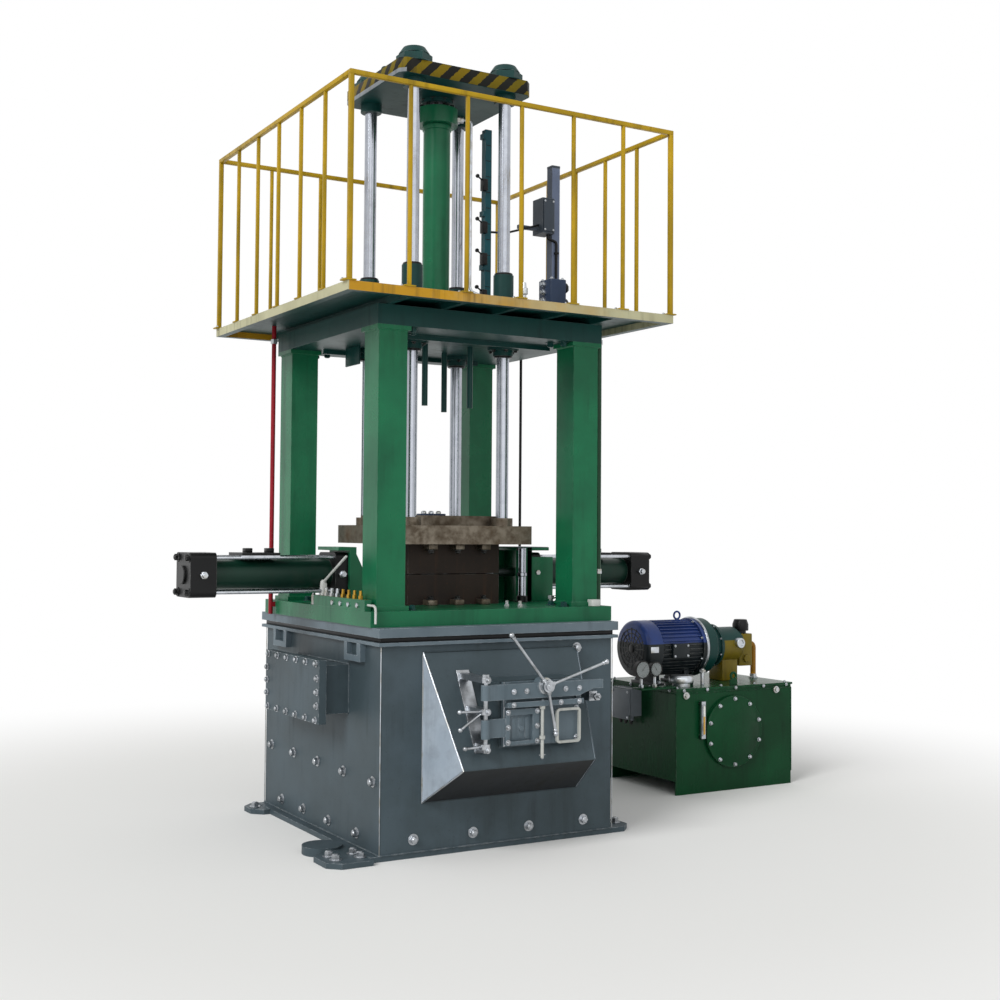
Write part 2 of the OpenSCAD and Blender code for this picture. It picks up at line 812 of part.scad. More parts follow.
module top_plate() {
    half_w = top_w / 2;
    half_d = top_d / 2;
    color("gold") translate([0, 0, top_z]) linear_extrude(top_t)
        polygon([[-half_w, top_cut - half_d], [top_cut - half_w, -half_d],
            [half_w - top_cut, -half_d], [half_w, top_cut - half_d],
            [half_w, half_d - top_cut], [half_w - top_cut, half_d],
            [top_cut - half_w, half_d], [-half_w, half_d - top_cut]]);
    color("gold") at_corners(rod_dx, rod_dy) translate([0, 0, top_z - rod_collar_h]) difference() {
        cylinder(r = rod_collar_r, h = rod_collar_h);
        translate([0, 0, -1]) cylinder(r = rod_r + run_gap, h = rod_collar_h + 1);
    }
}

module guide_rods() {
    color("silver") at_corners(rod_dx, rod_dy)
        translate([0, 0, platen_top]) cylinder(r = rod_r, h = top_z - platen_top);
}

// A big nut with a turned top edge, and the round rod end above it
module rod_nuts() {
    edge = 16;
    color("darkgreen") at_corners(rod_dx, rod_dy) translate([0, 0, top_top]) {
        intersection() {
            cylinder(r = nut_r, h = nut_h, $fn = 6);
            rotate_extrude() polygon([[0, 0], [nut_r, 0], [nut_r, nut_h - edge],
                [nut_r - edge, nut_h], [0, nut_h]]);
        }
        translate([0, 0, nut_h]) rotate_extrude() polygon([[0, 0], [nut_tip_r, 0],
            [nut_tip_r, nut_tip_h - edge], [nut_tip_r - edge, nut_tip_h], [0, nut_tip_h]]);
    }
}

module moving_platen() {
    color("tan") {
        block(platen_w, platen_d, platen_t, platen_z);
        at_corners(rod_dx, rod_dy) translate([0, 0, platen_top]) difference() {
            cylinder(r = rod_collar_r, h = rod_collar_h);
            cylinder(r = rod_r + run_gap, h = rod_collar_h + 1);
        }
        for (s = [-1, 1]) translate([0, s * platen_d / 4, 0])
            block(platen_w - 2 * rod_collar_r, 40, 60, platen_top);
    }
}

module lower_die() {
    color("saddlebrown") block(die_w, die_d, die_low_h, bed_top);
}

module upper_die() {
    color("saddlebrown") block(die_w, die_d, platen_z - die_top - die_gap, die_top + die_gap);
}

module knockout_bars() {
    color("darkgreen") at_corners(knock_dx, knock_dy)
        translate([0, 0, knock_end]) cylinder(r = knock_r, h = head_z - knock_end);
}

// Bracket that carries a core cylinder, for the right side
module core_bracket() {
    half = core_plate_w / 2;
    difference() {
        union() {
            translate([core_face - core_plate_t, -half, bed_top])
                cube([core_plate_t, core_plate_w, core_plate_h]);
            translate([core_face - core_plate_t, -half, bed_top + core_plate_h - 20])
                cube([core_plate_t + 75, core_plate_w, 20]);
            for (y = [-half, half - gusset_t])
                translate([core_face - core_plate_t, y + gusset_t, bed_top]) rotate([90, 0, 0])
                    linear_extrude(gusset_t)
                        polygon([[0, 0], [-gusset_reach, 0], [0, core_plate_h - 40]]);
        }
        translate([core_face - core_plate_t - 1, 0, core_z]) rotate([0, 90, 0])
            cylinder(r = core_rod_r + run_gap, h = core_plate_t + 2);
    }
}

// A square cap with round lobes at its corners, along X from x
module core_cap_block(x, len) {
    translate([x, 0, core_z]) rotate([90, 0, 90]) linear_extrude(len) {
        square([core_cap - 60, core_cap], center = true);
        square([core_cap, core_cap - 60], center = true);
        for (sx = [-1, 1], sy = [-1, 1])
            translate([sx * (core_cap / 2 - 30), sy * (core_cap / 2 - 30)]) circle(30);
    }
}

module core_cylinder(reach) {
    tube_start = core_face + core_cap_front;
    tube_end = reach - core_cap_rear;
    difference() {
        union() {
            core_cap_block(core_face, core_cap_front);
            core_cap_block(tube_end, core_cap_rear);
            translate([tube_start, 0, core_z]) rotate([0, 90, 0])
                cylinder(r = core_r, h = tube_end - tube_start);
            for (sy = [-1, 1], sz = [-1, 1])
                translate([tube_start, sy * core_tie, core_z + sz * core_tie])
                    rotate([0, 90, 0]) cylinder(r = core_tie_r, h = tube_end - tube_start);
            translate([tube_end - 150 - rail_len, -core_tie - core_tie_r, core_z + core_tie])
                cube([rail_len, 2 * core_tie + 2 * core_tie_r, core_tie_r + 16]);
        }
        translate([tube_start, 0, core_z]) rotate([0, 90, 0])
            cylinder(r = core_r - core_wall, h = tube_end - tube_start);
        translate([core_face - 1, 0, core_z]) rotate([0, 90, 0])
            cylinder(r = core_rod_r + run_gap, h = core_cap_front + 2);
    }
}

module core_slide() {
    piston_x = core_face + core_cap_front + 30;
    block_x = core_block_in;
    translate([block_x, -core_block_w / 2, core_z - core_block_h / 2])
        cube([core_block_t, core_block_w, core_block_h]);
    translate([block_x, 0, core_z]) rotate([0, 90, 0])
        cylinder(r = core_rod_r, h = piston_x + 50 - block_x);
    translate([piston_x, 0, core_z]) rotate([0, 90, 0])
        cylinder(r = core_r - core_wall - run_gap, h = 50);
}

module core_bracket_right() {
    color("seagreen") core_bracket();
}

module core_cylinder_right() {
    color("black") core_cylinder(core_reach_right);
}

module core_slide_right() {
    color("silver") core_slide();
}

module core_bracket_left() {
    color("seagreen") mirror([1, 0, 0]) core_bracket();
}

module core_cylinder_left() {
    color("black") mirror([1, 0, 0]) core_cylinder(core_reach_left);
}

module core_slide_left() {
    color("silver") mirror([1, 0, 0]) core_slide();
}

// A bar on the bed's left edge with a row of upright nozzles
module fitting_manifold() {
    pitch = 78;
    color("goldenrod") {
        translate([-bed_w / 2, -manifold_len, bed_top])
            cube([manifold_d, manifold_len, manifold_h]);
        for (i = [0:7]) translate([-bed_w / 2 + manifold_d / 2, -60 - i * pitch, 0]) {
            translate([0, 0, bed_top + manifold_h]) cylinder(r = 14, h = 20, $fn = 6);
            translate([0, 0, bed_top + manifold_h + 20]) cylinder(r = 9, h = 26);
        }
    }
}

module scale_bar() {
    color("teal") translate([rod_x + 46, 0, 0]) {
        block(scale_w, scale_w, scale_top - deck_top, deck_top);
        block(scale_w + 40, scale_w + 40, 12, deck_top);
        for (z = [deck_top + 360, deck_top + 700, scale_top - 60])
            translate([-scale_w / 2 - 14, -scale_w / 2, z]) cube([14, scale_w, 34]);
    }
}

// A valve block with two coils on its right and small ports on its left
module valve_block() {
    color("steelblue") translate([valve_x, -valve_y, 0]) {
        block(valve_w, valve_d, valve_h, deck_top);
        block(valve_w + 60, valve_d + 20, 14, deck_top);
        for (z = [40, 98]) translate([valve_w / 2, 0, deck_top + z]) rotate([0, 90, 0]) {
            cylinder(r = 24, h = 60);
            translate([0, 0, 60]) cylinder(r = 15, h = 16);
        }
        for (z = [40, 98]) translate([-valve_w / 2 - 18, 0, deck_top + z]) rotate([0, 90, 0])
            cylinder(r = 12, h = 18);
        translate([-valve_w / 4, 0, deck_top + valve_h]) cylinder(r = 16, h = 34);
    }
}

// A post with a junction box on its left and a short arm towards the scale bar
module control_post() {
    color("gray") translate([post_x, post_y, 0]) {
        block(post_w, post_w, rail_h - 20, deck_top);
        block(post_w + 70, post_w + 70, 12, deck_top);
        translate([-post_w / 2 - junction_w, -junction_d / 2, deck_top + junction_z])
            cube([junction_w, junction_d, junction_h]);
        translate([-post_w / 2 - junction_w - 150, -12, deck_top + junction_z + 20])
            cube([150, 24, 24]);
    }
}

module supply_pipes() {
    pipe_top = deck_top - deck_plate;
    color("firebrick") {
        translate([-bed_w / 2 - pipe_gap - pipe_r, pipe_y, 0]) {
            translate([0, 0, flange_top]) cylinder(r = pipe_r, h = pipe_top - flange_top);
            translate([0, -pipe_r, bed_top - 40]) cube([pipe_gap + pipe_r, 2 * pipe_r, 30]);
        }
        translate([bed_w / 2 + pipe_gap + thin_r, thin_y, 0]) {
            translate([0, 0, flange_top]) cylinder(r = thin_r, h = pipe_top - flange_top);
            translate([-pipe_gap - thin_r, -thin_r, bed_top - 40])
                cube([pipe_gap + thin_r, 2 * thin_r, 30]);
        }
        translate([bed_w / 2 + return_gap + return_r, -return_y, 0]) {
            translate([0, 0, flange_top + 20]) cylinder(r = return_r, h = pipe_top - flange_top - 20);
            translate([-return_gap - return_r, 0, flange_top + bed_t / 2]) rotate([0, 90, 0])
                cylinder(r = return_r - 4, h = return_gap + return_r);
        }
    }
}

module oil_tank() {
    color("darkgreen") {
        translate([tank_x, tank_y + tank_end_t, tank_clear])
            cube([tank_w, tank_d - 2 * tank_end_t, tank_h - tank_lid_t - tank_clear]);
        for (y = [tank_y, tank_y + tank_d - tank_end_t])
            translate([tank_x, y, 0]) cube([tank_w, tank_end_t, tank_h - tank_lid_t]);
        translate([tank_x - tank_lid_lip, tank_y - tank_lid_lip, tank_h - tank_lid_t])
            cube([tank_w + 2 * tank_lid_lip, tank_d + 2 * tank_lid_lip, tank_lid_t]);
    }
}

module tank_cover() {
    color("green") translate([tank_mid_x + 17, tank_y, 400]) rotate([90, 0, 0]) rotate_extrude()
        polygon([[0, 0], [cover_r, 0], [cover_r, cover_t - 4], [cover_r - 4, cover_t],
            [cover_r - 62, cover_t], [cover_r - 74, cover_t + 14], [0, cover_t + 14]]);
}

module sight_gauge() {
    stem = 16;
    color("silver") translate([tank_x + sight_x, tank_y, 495]) {
        for (s = [-1, 1]) translate([0, 0, s * (sight_h / 2 - 20)]) rotate([90, 0, 0])
            cylinder(r = 11, h = stem);
        translate([-sight_w / 2, -stem - 22, -sight_h / 2]) cube([sight_w, 22, sight_h]);
        translate([0, -stem - 22, 0]) block(sight_w - 14, 12, sight_h - 40, 20 - sight_h / 2);
    }
}

motor_x = tank_x + 30;

// The motor: finned body, fan cowl, end flange, feet and lifting eye
module pump_motor() {
    body_r = motor_r - fin_h;
    fin_len = motor_len - cowl_len - 40;
    color("royalblue") {
        translate([motor_x, motor_y, motor_z]) rotate([0, 90, 0]) {
            rotate_extrude() polygon([[0, 0], [motor_r - 20, 0], [motor_r, 20],
                [motor_r, cowl_len], [body_r, cowl_len], [body_r, motor_len - 24],
                [motor_r + 6, motor_len - 24], [motor_r + 6, motor_len], [0, motor_len]]);
            for (i = [0:fin_count - 1]) rotate([0, 0, i * 360 / fin_count])
                translate([body_r - 4, -3, cowl_len + 8]) cube([fin_h + 2, 6, fin_len]);
        }
        for (x = [cowl_len + 30, motor_len - 90]) {
            translate([motor_x + x, motor_y - 110, tank_h]) cube([60, 220, 20]);
            translate([motor_x + x + 10, motor_y - 80, tank_h]) cube([40, 160, motor_z - tank_h - 80]);
        }
        translate([motor_x + motor_len / 2 + 20, motor_y, motor_z + motor_r + 24])
            rotate([90, 0, 0]) rotate_extrude() translate([26, 0]) circle(7);
        translate([motor_x + motor_len / 2 + 20, motor_y, motor_z]) cylinder(r = 10, h = motor_r + 5);
        translate([motor_x + cowl_len + 70, motor_y - motor_r - 50, motor_z - 60])
            cube([110, 80, 120]);
    }
}

module bell_housing() {
    ring = 20;
    color("green") translate([motor_x + motor_len, motor_y, motor_z]) rotate([0, 90, 0])
        rotate_extrude() polygon([[0, 0], [bell_r + 14, 0], [bell_r + 14, ring], [bell_r - 12, ring],
            [pump_r + 8, bell_len - ring], [pump_r + 22, bell_len - ring],
            [pump_r + 22, bell_len], [0, bell_len]]);
}

// The pump with its pressure valve, the knob on top and the pipe down into the lid
module oil_pump() {
    bend = 60;
    valve_mid = pump_len + press_valve / 2 - 10;
    color("olive") translate([motor_x + motor_len + bell_len, motor_y, motor_z]) {
        rotate([0, 90, 0]) rotate_extrude() polygon([[0, 0], [pump_r, 0], [pump_r, pump_len - 60],
            [pump_r - 24, pump_len - 36], [pump_r - 24, pump_len], [0, pump_len]]);
        translate([0, -70, -40]) translate([40, 0, 0]) rotate([90, 0, 0]) cylinder(r = 34, h = 50);
        translate([pump_len - 10, -press_valve / 2, -press_valve / 2])
            cube([press_valve, press_valve, press_valve]);
        translate([valve_mid, 0, press_valve / 2]) cylinder(r = 26, h = 40);
        translate([valve_mid, 0, press_valve / 2 + 40]) cylinder(r = 40, h = 44);
        translate([pump_len - 10 + press_valve, 0, 0]) rotate([0, 90, 0])
            cylinder(r = delivery_r, h = 20);
        translate([pump_len + 10 + press_valve, 0, -bend]) rotate([90, 0, 0]) intersection() {
            rotate_extrude() translate([bend, 0]) circle(delivery_r);
            translate([0, 0, -delivery_r - 1]) cube([2 * bend, 2 * bend, 2 * delivery_r + 2]);
        }
        translate([pump_len + 10 + press_valve + bend, 0, tank_h - motor_z])
            cylinder(r = delivery_r, h = motor_z - tank_h - bend);
    }
}

// Filler cap, two pressure gauges on their stems, a plug and a lifting hook
module tank_fittings() {
    color("silver") {
        translate([tank_x + 290, tank_y + 110, tank_h]) rotate_extrude()
            polygon([[0, 0], [40, 0], [40, 22], [58, 22], [58, 52], [50, 62], [0, 62]]);
        for (g = [[80, 120, 120, 52], [170, 190, 170, 40]])
            translate([tank_x + g[0], tank_y + g[1], tank_h]) {
                cylinder(r = 11, h = g[2]);
                translate([0, 16, g[2] + g[3] - 8]) rotate([90, 0, 0]) {
                    cylinder(r = g[3], h = 34);
                    cylinder(r = g[3] - 8, h = 40);
                }
            }
        translate([tank_x + 420, tank_y + 90, tank_h]) cylinder(r = 18, h = 90);
        translate([tank_x + 600, tank_y + 70, tank_h]) cylinder(r = 40, h = 40, $fn = 6);
        translate([tank_x + 760, tank_y + 60, tank_h]) difference() {
            cube([60, 14, 90]);
            translate([30, -1, 58]) rotate([-90, 0, 0]) cylinder(r = 16, h = 16);
        }
    }
}

module terminal_box() {
    color("lightgray") translate([tank_x - terminal_reach, 268, terminal_z]) {
        cube([terminal_reach, terminal_w, terminal_h]);
        translate([-10, 8, 8]) cube([10, terminal_w - 16, terminal_h - 16]);
        for (y = [50, terminal_w - 50]) translate([terminal_reach / 2, y, -34])
            cylinder(r = 14, h = 34);
    }
}

furnace_body();
furnace_flange();
charging_hopper();
door_mounts();
charging_door();
star_handle();
lid_clamps();
side_housing();
press_bed();
columns();
crosshead();
deck();
railing_front();
railing_back();
railing_left();
railing_right();
guide_bushes();
lift_cylinder();
lift_rod();
top_plate();
guide_rods();
rod_nuts();
moving_platen();
upper_die();
lower_die();
knockout_bars();
core_bracket_left();
core_cylinder_left();
core_slide_left();
core_bracket_right();
core_cylinder_right();
core_slide_right();
fitting_manifold();
scale_bar();
valve_block();
control_post();
supply_pipes();
oil_tank();
tank_cover();
sight_gauge();
pump_motor();
bell_housing();
oil_pump();
tank_fittings();
terminal_box();
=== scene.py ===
"""Looks of a low pressure die casting machine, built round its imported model.
Metres, +X to the right along the charging side, +Y to the back, +Z up."""
import json
import math
import bmesh
import bpy
from mathutils import Matrix, Vector


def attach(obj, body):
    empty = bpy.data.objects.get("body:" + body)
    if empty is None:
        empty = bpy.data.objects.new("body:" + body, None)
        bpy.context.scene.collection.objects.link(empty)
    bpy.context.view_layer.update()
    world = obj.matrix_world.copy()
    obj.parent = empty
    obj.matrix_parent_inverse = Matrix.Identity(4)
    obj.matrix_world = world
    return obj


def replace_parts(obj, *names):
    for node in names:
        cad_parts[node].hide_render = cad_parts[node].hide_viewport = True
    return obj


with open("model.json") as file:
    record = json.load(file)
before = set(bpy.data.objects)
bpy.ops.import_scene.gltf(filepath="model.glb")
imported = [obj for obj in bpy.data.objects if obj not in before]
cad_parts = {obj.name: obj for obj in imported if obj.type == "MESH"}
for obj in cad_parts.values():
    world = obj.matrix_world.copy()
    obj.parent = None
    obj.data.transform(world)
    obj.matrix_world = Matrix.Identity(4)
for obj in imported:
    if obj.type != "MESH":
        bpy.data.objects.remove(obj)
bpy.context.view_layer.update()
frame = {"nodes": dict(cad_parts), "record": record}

scene = bpy.context.scene
BODY_OF = {n: b for b, ns in frame["record"]["behaviour"]["bodies"].items() for n in ns}
MIX, RANGE, XYZ = "ShaderNodeMix", "ShaderNodeMapRange", "ShaderNodeSeparateXYZ"
LEFT, RIGHT, NEAR, FAR, UP, DOWN = (-1, 0, 0), (1, 0, 0), (0, -1, 0), (0, 1, 0), (0, 0, 1), (0, 0, -1)
CORNERS = [(a, b) for a in (-1, 1) for b in (-1, 1)]
# X and Y of the four guide rods
RODS = [(a * 0.313, b * 0.295) for a, b in CORNERS]
# Heights of the bed, the deck, the tank's top, the core cylinders' axis and the gauges' middle
BED, DECK, TANK, CORE, GAUGE = 1.3203, 3.0465, 0.7102, 1.5025, 0.843
# Y and Z of the motor's and the pump's axis
MOTOR = (0.22, 0.96)


def linear(code):
    """An sRGB hex colour as linear light, opaque"""
    parts = [int(code[i:i + 2], 16) / 255 for i in (1, 3, 5)]
    return (*[c / 12.92 if c <= 0.04045 else ((c + 0.055) / 1.055) ** 2.4 for c in parts], 1.0)


def add(tree, kind, sockets=(), out=0, **settings):
    """Adds a node with its settings, values and links; gives its output out, or the node if out is None"""
    node = tree.nodes.new(kind)
    for key, value in settings.items():
        setattr(node, key, value)
    for key, value in sockets.items() if isinstance(sockets, dict) else enumerate(sockets):
        if isinstance(value, bpy.types.NodeSocket):
            tree.links.new(value, node.inputs[key])
        else:
            node.inputs[key].default_value = value
    return node if out is None else node.outputs[out]


def calc(tree, operation, *values):
    """Adds a node that reckons with numbers"""
    return add(tree, "ShaderNodeMath", values, operation=operation)


# Looks: each is a dictionary of colour, roughness, metal and height (in metres), made in a material's tree


def patches(tree, place, size, low=0.4, high=0.6, stretch=(1, 1, 1), shift=0.0, detail=4.0):
    """A mask of soft patches about size metres across, drawn out where stretch is under 1"""
    spread = add(tree, "ShaderNodeMapping",
        {"Vector": place, "Scale": stretch, "Location": (shift, 0.7 * shift, 0.3 * shift)})
    cloud = add(tree, "ShaderNodeTexNoise",
        {"Vector": spread, "Scale": 1 / size, "Detail": detail, "Roughness": 0.6})
    return add(tree, RANGE, {"Value": cloud, "From Min": low, "From Max": high})


def over(tree, mask, top, under):
    """One look laid over another where the mask is 1"""
    laid = {key: add(tree, MIX, {0: mask, 2: under[key], 3: top[key]})
        for key in ("roughness", "metal", "height")}
    laid["colour"] = add(tree, MIX, {0: mask, 6: under["colour"], 7: top["colour"]}, 2, data_type="RGBA")
    return laid


def inside(tree, place, low=(None,) * 3, high=(None,) * 3, soft=0.001):
    """A mask that is 1 in a box of the machine's space; None leaves a side open"""
    split = add(tree, XYZ, {0: place}, None)
    mask = 1.0
    for axis in range(3):
        for limit, sign in ((low[axis], 1), (high[axis], -1)):
            if limit is not None:
                side = add(tree, RANGE, {"Value": split.outputs[axis], "From Min": limit - sign * soft,
                    "From Max": limit + sign * soft})
                mask = calc(tree, "MULTIPLY", mask, side)
    return mask


def facing(tree, axis, sign):
    """A mask of the surfaces that face along one axis of the machine's space"""
    normal = add(tree, XYZ, {0: add(tree, "ShaderNodeNewGeometry", out="Normal")}, axis)
    return add(tree, RANGE, {"Value": normal, "From Min": 0.45 * sign, "From Max": 0.55 * sign})


def worn_edge(tree, reach):
    """A mask of the outside edges of a plate, reach metres wide"""
    soft = add(tree, "ShaderNodeBevel", {"Radius": reach}, samples=6)
    true = add(tree, "ShaderNodeNewGeometry", out="Normal")
    turn = add(tree, "ShaderNodeVectorMath", (soft, true), "Value", operation="DOT_PRODUCT")
    return add(tree, RANGE, {"Value": turn, "From Min": 0.97, "From Max": 0.80})


def plain(colour, roughness, metal=0.0, height=0.0):
    return {"colour": linear(colour), "roughness": roughness, "metal": metal, "height": height}


def enamel(colour, faded, gloss=0.3, bare="#8d8f8d", wear=0.6, grime=0.5, dirt="#2a2822", sheet=0.45,
        speckle=0.0, edge=0.005):
    """Paint on plate: tone in patches as wide as sheet, dirt run down in streaks, metal on worn edges"""
    def look(tree, place):
        tone = patches(tree, place, sheet, 0.36, 0.64, shift=3.1)
        base = over(tree, tone, plain(faded, gloss + 0.06), plain(colour, gloss))
        # plate is never quite flat: 0.35 mm over a hand's width; the sprayed skin is drawn at 6 mm to show
        hollow = patches(tree, place, 0.17, 0.2, 0.8, detail=1.0)
        skin = patches(tree, place, 0.006, 0.2, 0.8, detail=1.0)
        base["height"] = calc(tree, "MULTIPLY_ADD", hollow, 0.00035, calc(tree, "MULTIPLY", skin, 0.00003))
        streak = calc(tree, "MULTIPLY", patches(tree, place, 0.05, 0.5, 0.72, (1, 1, 0.07), 5.0),
            patches(tree, place, 0.4, 0.45, 0.6, shift=1.7))
        soil = {**base, "colour": linear(dirt), "roughness": 0.7}
        base = over(tree, calc(tree, "MULTIPLY", streak, grime), soil, base)
        if speckle:
            fleck = patches(tree, place, 0.012, 0.62, 0.72, shift=2.2)
            base = over(tree, calc(tree, "MULTIPLY", fleck, speckle), soil, base)
        if wear:
            scraped = calc(tree, "MULTIPLY", worn_edge(tree, edge),
                patches(tree, place, 0.05, 0.42, 0.6, shift=6.0))
            metal = {**base, "colour": linear(bare), "roughness": 0.38, "metal": 0.8}
            base = over(tree, calc(tree, "MULTIPLY", scraped, wear), metal, base)
        return base
    return look


def turned_steel(colour, stained, gloss=0.28, line=0.002, lines=(1, 1, 1), stains=0.15):
    """Steel cut by a tool: fine lines, drawn 2 mm wide or more to show, and stains and oil patches"""
    def look(tree, place):
        cut = patches(tree, place, line, 0.3, 0.7, lines, detail=2.0)
        stain = patches(tree, place, 0.06, 0.45, 0.7, shift=4.0)
        base = over(tree, stain, plain(stained, gloss + stains, 1.0), plain(colour, gloss, 1.0))
        base["roughness"] = calc(tree, "MULTIPLY_ADD", cut, 0.08, base["roughness"])
        base["height"] = calc(tree, "MULTIPLY", cut, 0.00002)
        return base
    return look


def bloom(first, colour, amount, size=0.08):
    """A first look with a matt bloom of rust or dust on it"""
    def look(tree, place):
        base = first(tree, place)
        mask = calc(tree, "MULTIPLY", patches(tree, place, size, 0.46, 0.66, shift=9.0), amount)
        return over(tree, mask, {**base, "colour": linear(colour), "roughness": 0.75, "metal": 0.1}, base)
    return look


MATERIALS = {}
# Specular level of new paint and of old enamel with a film of oil dust on it
FRESH, DUSTY = 0.5, 0.22
# Radius in metres that every edge catches light with
EDGE_RADIUS = 0.002


def make(name, look, specular=DUSTY, **shader):
    """Builds a material from a look"""
    material = bpy.data.materials.new(name)
    material.use_nodes = True
    tree = material.node_tree
    tree.nodes.clear()
    place = add(tree, "ShaderNodeTexCoord", out="Object")
    finish = look(tree, place)
    soft = add(tree, "ShaderNodeBevel", {"Radius": EDGE_RADIUS}, samples=4)
    relief = add(tree, "ShaderNodeBump",
        {"Height": finish["height"], "Distance": 1.0, "Strength": 1.0, "Normal": soft})
    surface = add(tree, "ShaderNodeBsdfPrincipled",
        {"Base Color": finish["colour"], "Roughness": finish["roughness"], "Metallic": finish["metal"],
        "Normal": relief, "Specular IOR Level": specular, **shader})
    add(tree, "ShaderNodeOutputMaterial", {"Surface": surface}, None)
    MATERIALS[name] = material


def zoned(first, *zones):
    """A look with other looks in boxes of the machine's space: zones are (low corner, high corner, look)"""
    def look(tree, place):
        base = first(tree, place)
        for low, high, other in zones:
            base = over(tree, inside(tree, place, low, high), other(tree, place), base)
        return base
    return look


def warning_stripes(tree, place):
    """Yellow and black bands of 65 mm that lean to the right on the front and left faces; green elsewhere"""
    split = add(tree, XYZ, {0: place}, None)
    along = calc(tree, "SUBTRACT", split.outputs[0], split.outputs[1])
    lean = calc(tree, "SUBTRACT", along, split.outputs[2])
    ragged = calc(tree, "MULTIPLY_ADD", patches(tree, place, 0.02), 0.006, lean)
    band = calc(tree, "FRACT", calc(tree, "DIVIDE", ragged, 0.13))
    mask = add(tree, RANGE, {"Value": band, "From Min": 0.49, "From Max": 0.51})
    yellow = enamel("#75600f", "#635812", 0.5, grime=0.8, wear=0.4)(tree, place)
    black_band = enamel("#121210", "#1e1f1b", 0.4, grime=0.4, wear=0.4)(tree, place)
    level = calc(tree, "MAXIMUM", facing(tree, 2, 1), facing(tree, 2, -1))
    foot = calc(tree, "MULTIPLY", facing(tree, 0, -1), inside(tree, place, high=(None, None, 4.452)))
    banded = over(tree, foot, enamel("#8d9296", "#7d8286", 0.4)(tree, place),
        over(tree, mask, black_band, yellow))
    return over(tree, level, deep_green(tree, place), banded)


def hopper_look(tree, place):
    """The cheeks are painted pale, a painted highlight for the sides the light falls on; the sloped faces
    have the casing's paint, with painted shade on the faces that look down
    """
    # the faces that look down get a near black paint: painted shade under the hopper
    under = enamel("#24272a", "#1e2022", 0.5, wear=0.2)(tree, place)
    base = over(tree, facing(tree, 2, -1), under, hopper_face(tree, place))
    mask = calc(tree, "MAXIMUM", facing(tree, 0, -1), facing(tree, 0, 1))
    cheek = calc(tree, "MAXIMUM", inside(tree, place, high=(-0.38, None, None)),
        inside(tree, place, (0.38, None, None)))
    both = calc(tree, "MULTIPLY", mask, cheek)
    return over(tree, both, bloom(hopper_lit_cheek, "#7b838a", 0.35)(tree, place), base)


def deck_look(tree, place):
    """Edge channel yellow at the front left, turning to cream to the right and on the left end; the darker
    green below as painted shade, chequer plate on top
    """
    split = add(tree, XYZ, {0: place}, 0)
    drift = calc(tree, "MULTIPLY_ADD", patches(tree, place, 0.2), 0.3, split)
    fade = add(tree, RANGE, {"Value": drift, "From Min": -0.3, "From Max": 0.9})
    yellow = enamel("#b98a1c", "#a87c18", 0.4, grime=0.6, wear=0.6)(tree, place)
    cream = enamel("#b9b694", "#a5a282", 0.45, grime=0.6, wear=0.6)(tree, place)
    edge = over(tree, inside(tree, place, high=(-1.045, None, None)), cream, over(tree, fade, cream, yellow))
    inner = inside(tree, place, (-1.0, -0.97, None), (1.0, 0.97, None))
    # the faces inside the edge channel and those that look down take the darker green: painted shade under
    # the deck
    low = calc(tree, "MAXIMUM", facing(tree, 2, -1), inner)
    base = over(tree, low, deep_green(tree, place), edge)
    return over(tree, facing(tree, 2, 1), bloom(plate_steel, "#4d463c", 0.5, 0.2)(tree, place), base)


def core_look(tree, place):
    """Core cylinders: black end caps and switch rail, green barrel, bright tie rods"""
    split = add(tree, XYZ, {0: place}, None)
    reach, out = [calc(tree, "ABSOLUTE", split.outputs[i]) for i in (0, 1)]
    up = calc(tree, "ABSOLUTE", calc(tree, "SUBTRACT", split.outputs[2], CORE))
    long = calc(tree, "COMPARE", reach, 1.0625, 0.356)
    from_axis = add(tree, "ShaderNodeVectorMath", (add(tree, "ShaderNodeCombineXYZ", (0, out, up)),),
        "Value", operation="LENGTH")
    barrel = calc(tree, "MULTIPLY", long, calc(tree, "LESS_THAN", from_axis, 0.0855))
    near_rod = [calc(tree, "COMPARE", side, 0.097, 0.0112) for side in (out, up)]
    rods = calc(tree, "MULTIPLY", long, calc(tree, "MULTIPLY", *near_rod))
    base = over(tree, barrel, enamel("#0e3326", "#0b281f", 0.3)(tree, place), black(tree, place))
    return over(tree, rods, tie(tree, place), base)


# Aluminium heat paint on rolled plate: grey with a slight metal sheen, mottled and speckled by splashes
make("aluminium_heat_paint", enamel("#39454a", "#455259", 0.42, grime=0.35, speckle=0.35, dirt="#23272a",
    wear=0.9, bare="#b9bfc4"))
# A paler batch on the door; gloves rubbed its loop handle and the rod before it almost white
rubbed = enamel("#b9bbb6", "#a3a6a2", 0.38, grime=0.5, dirt="#3b3a36", speckle=0.2)
make("aluminium_heat_paint_pale", zoned(enamel("#55636b", "#65727a", 0.4, grime=0.3, speckle=0.2,
    dirt="#2b3033", bare="#c9cfd4"), ((0.148, None, 0.605), (0.312, -1.1515, 0.8), rubbed),
    ((0.04, None, 0.53), (0.08, -1.1515, 0.816), rubbed)))
# The casing's paint on the hopper's sloped faces, and a pale aluminium copy on its cheeks: painted light for
# the lit sides
hopper_face = enamel("#39454a", "#434f55", 0.42, grime=0.35, speckle=0.35, dirt="#23272a", wear=0.15)
# pale aluminium paint for the cheeks, standing in for the light on them
hopper_lit_cheek = enamel("#a6b1bc", "#939fab", 0.4, grime=0.25, dirt="#4a5054", speckle=0.15)
make("hopper_paint", hopper_look)
# Gloss enamel brushed on welded box sections: deep green with soft sheen and oily runs
green = enamel("#146a45", "#10583a", 0.26, grime=0.35, dirt="#0b2219", wear=0.35, bare="#6f8f80")
make("green_enamel", green)
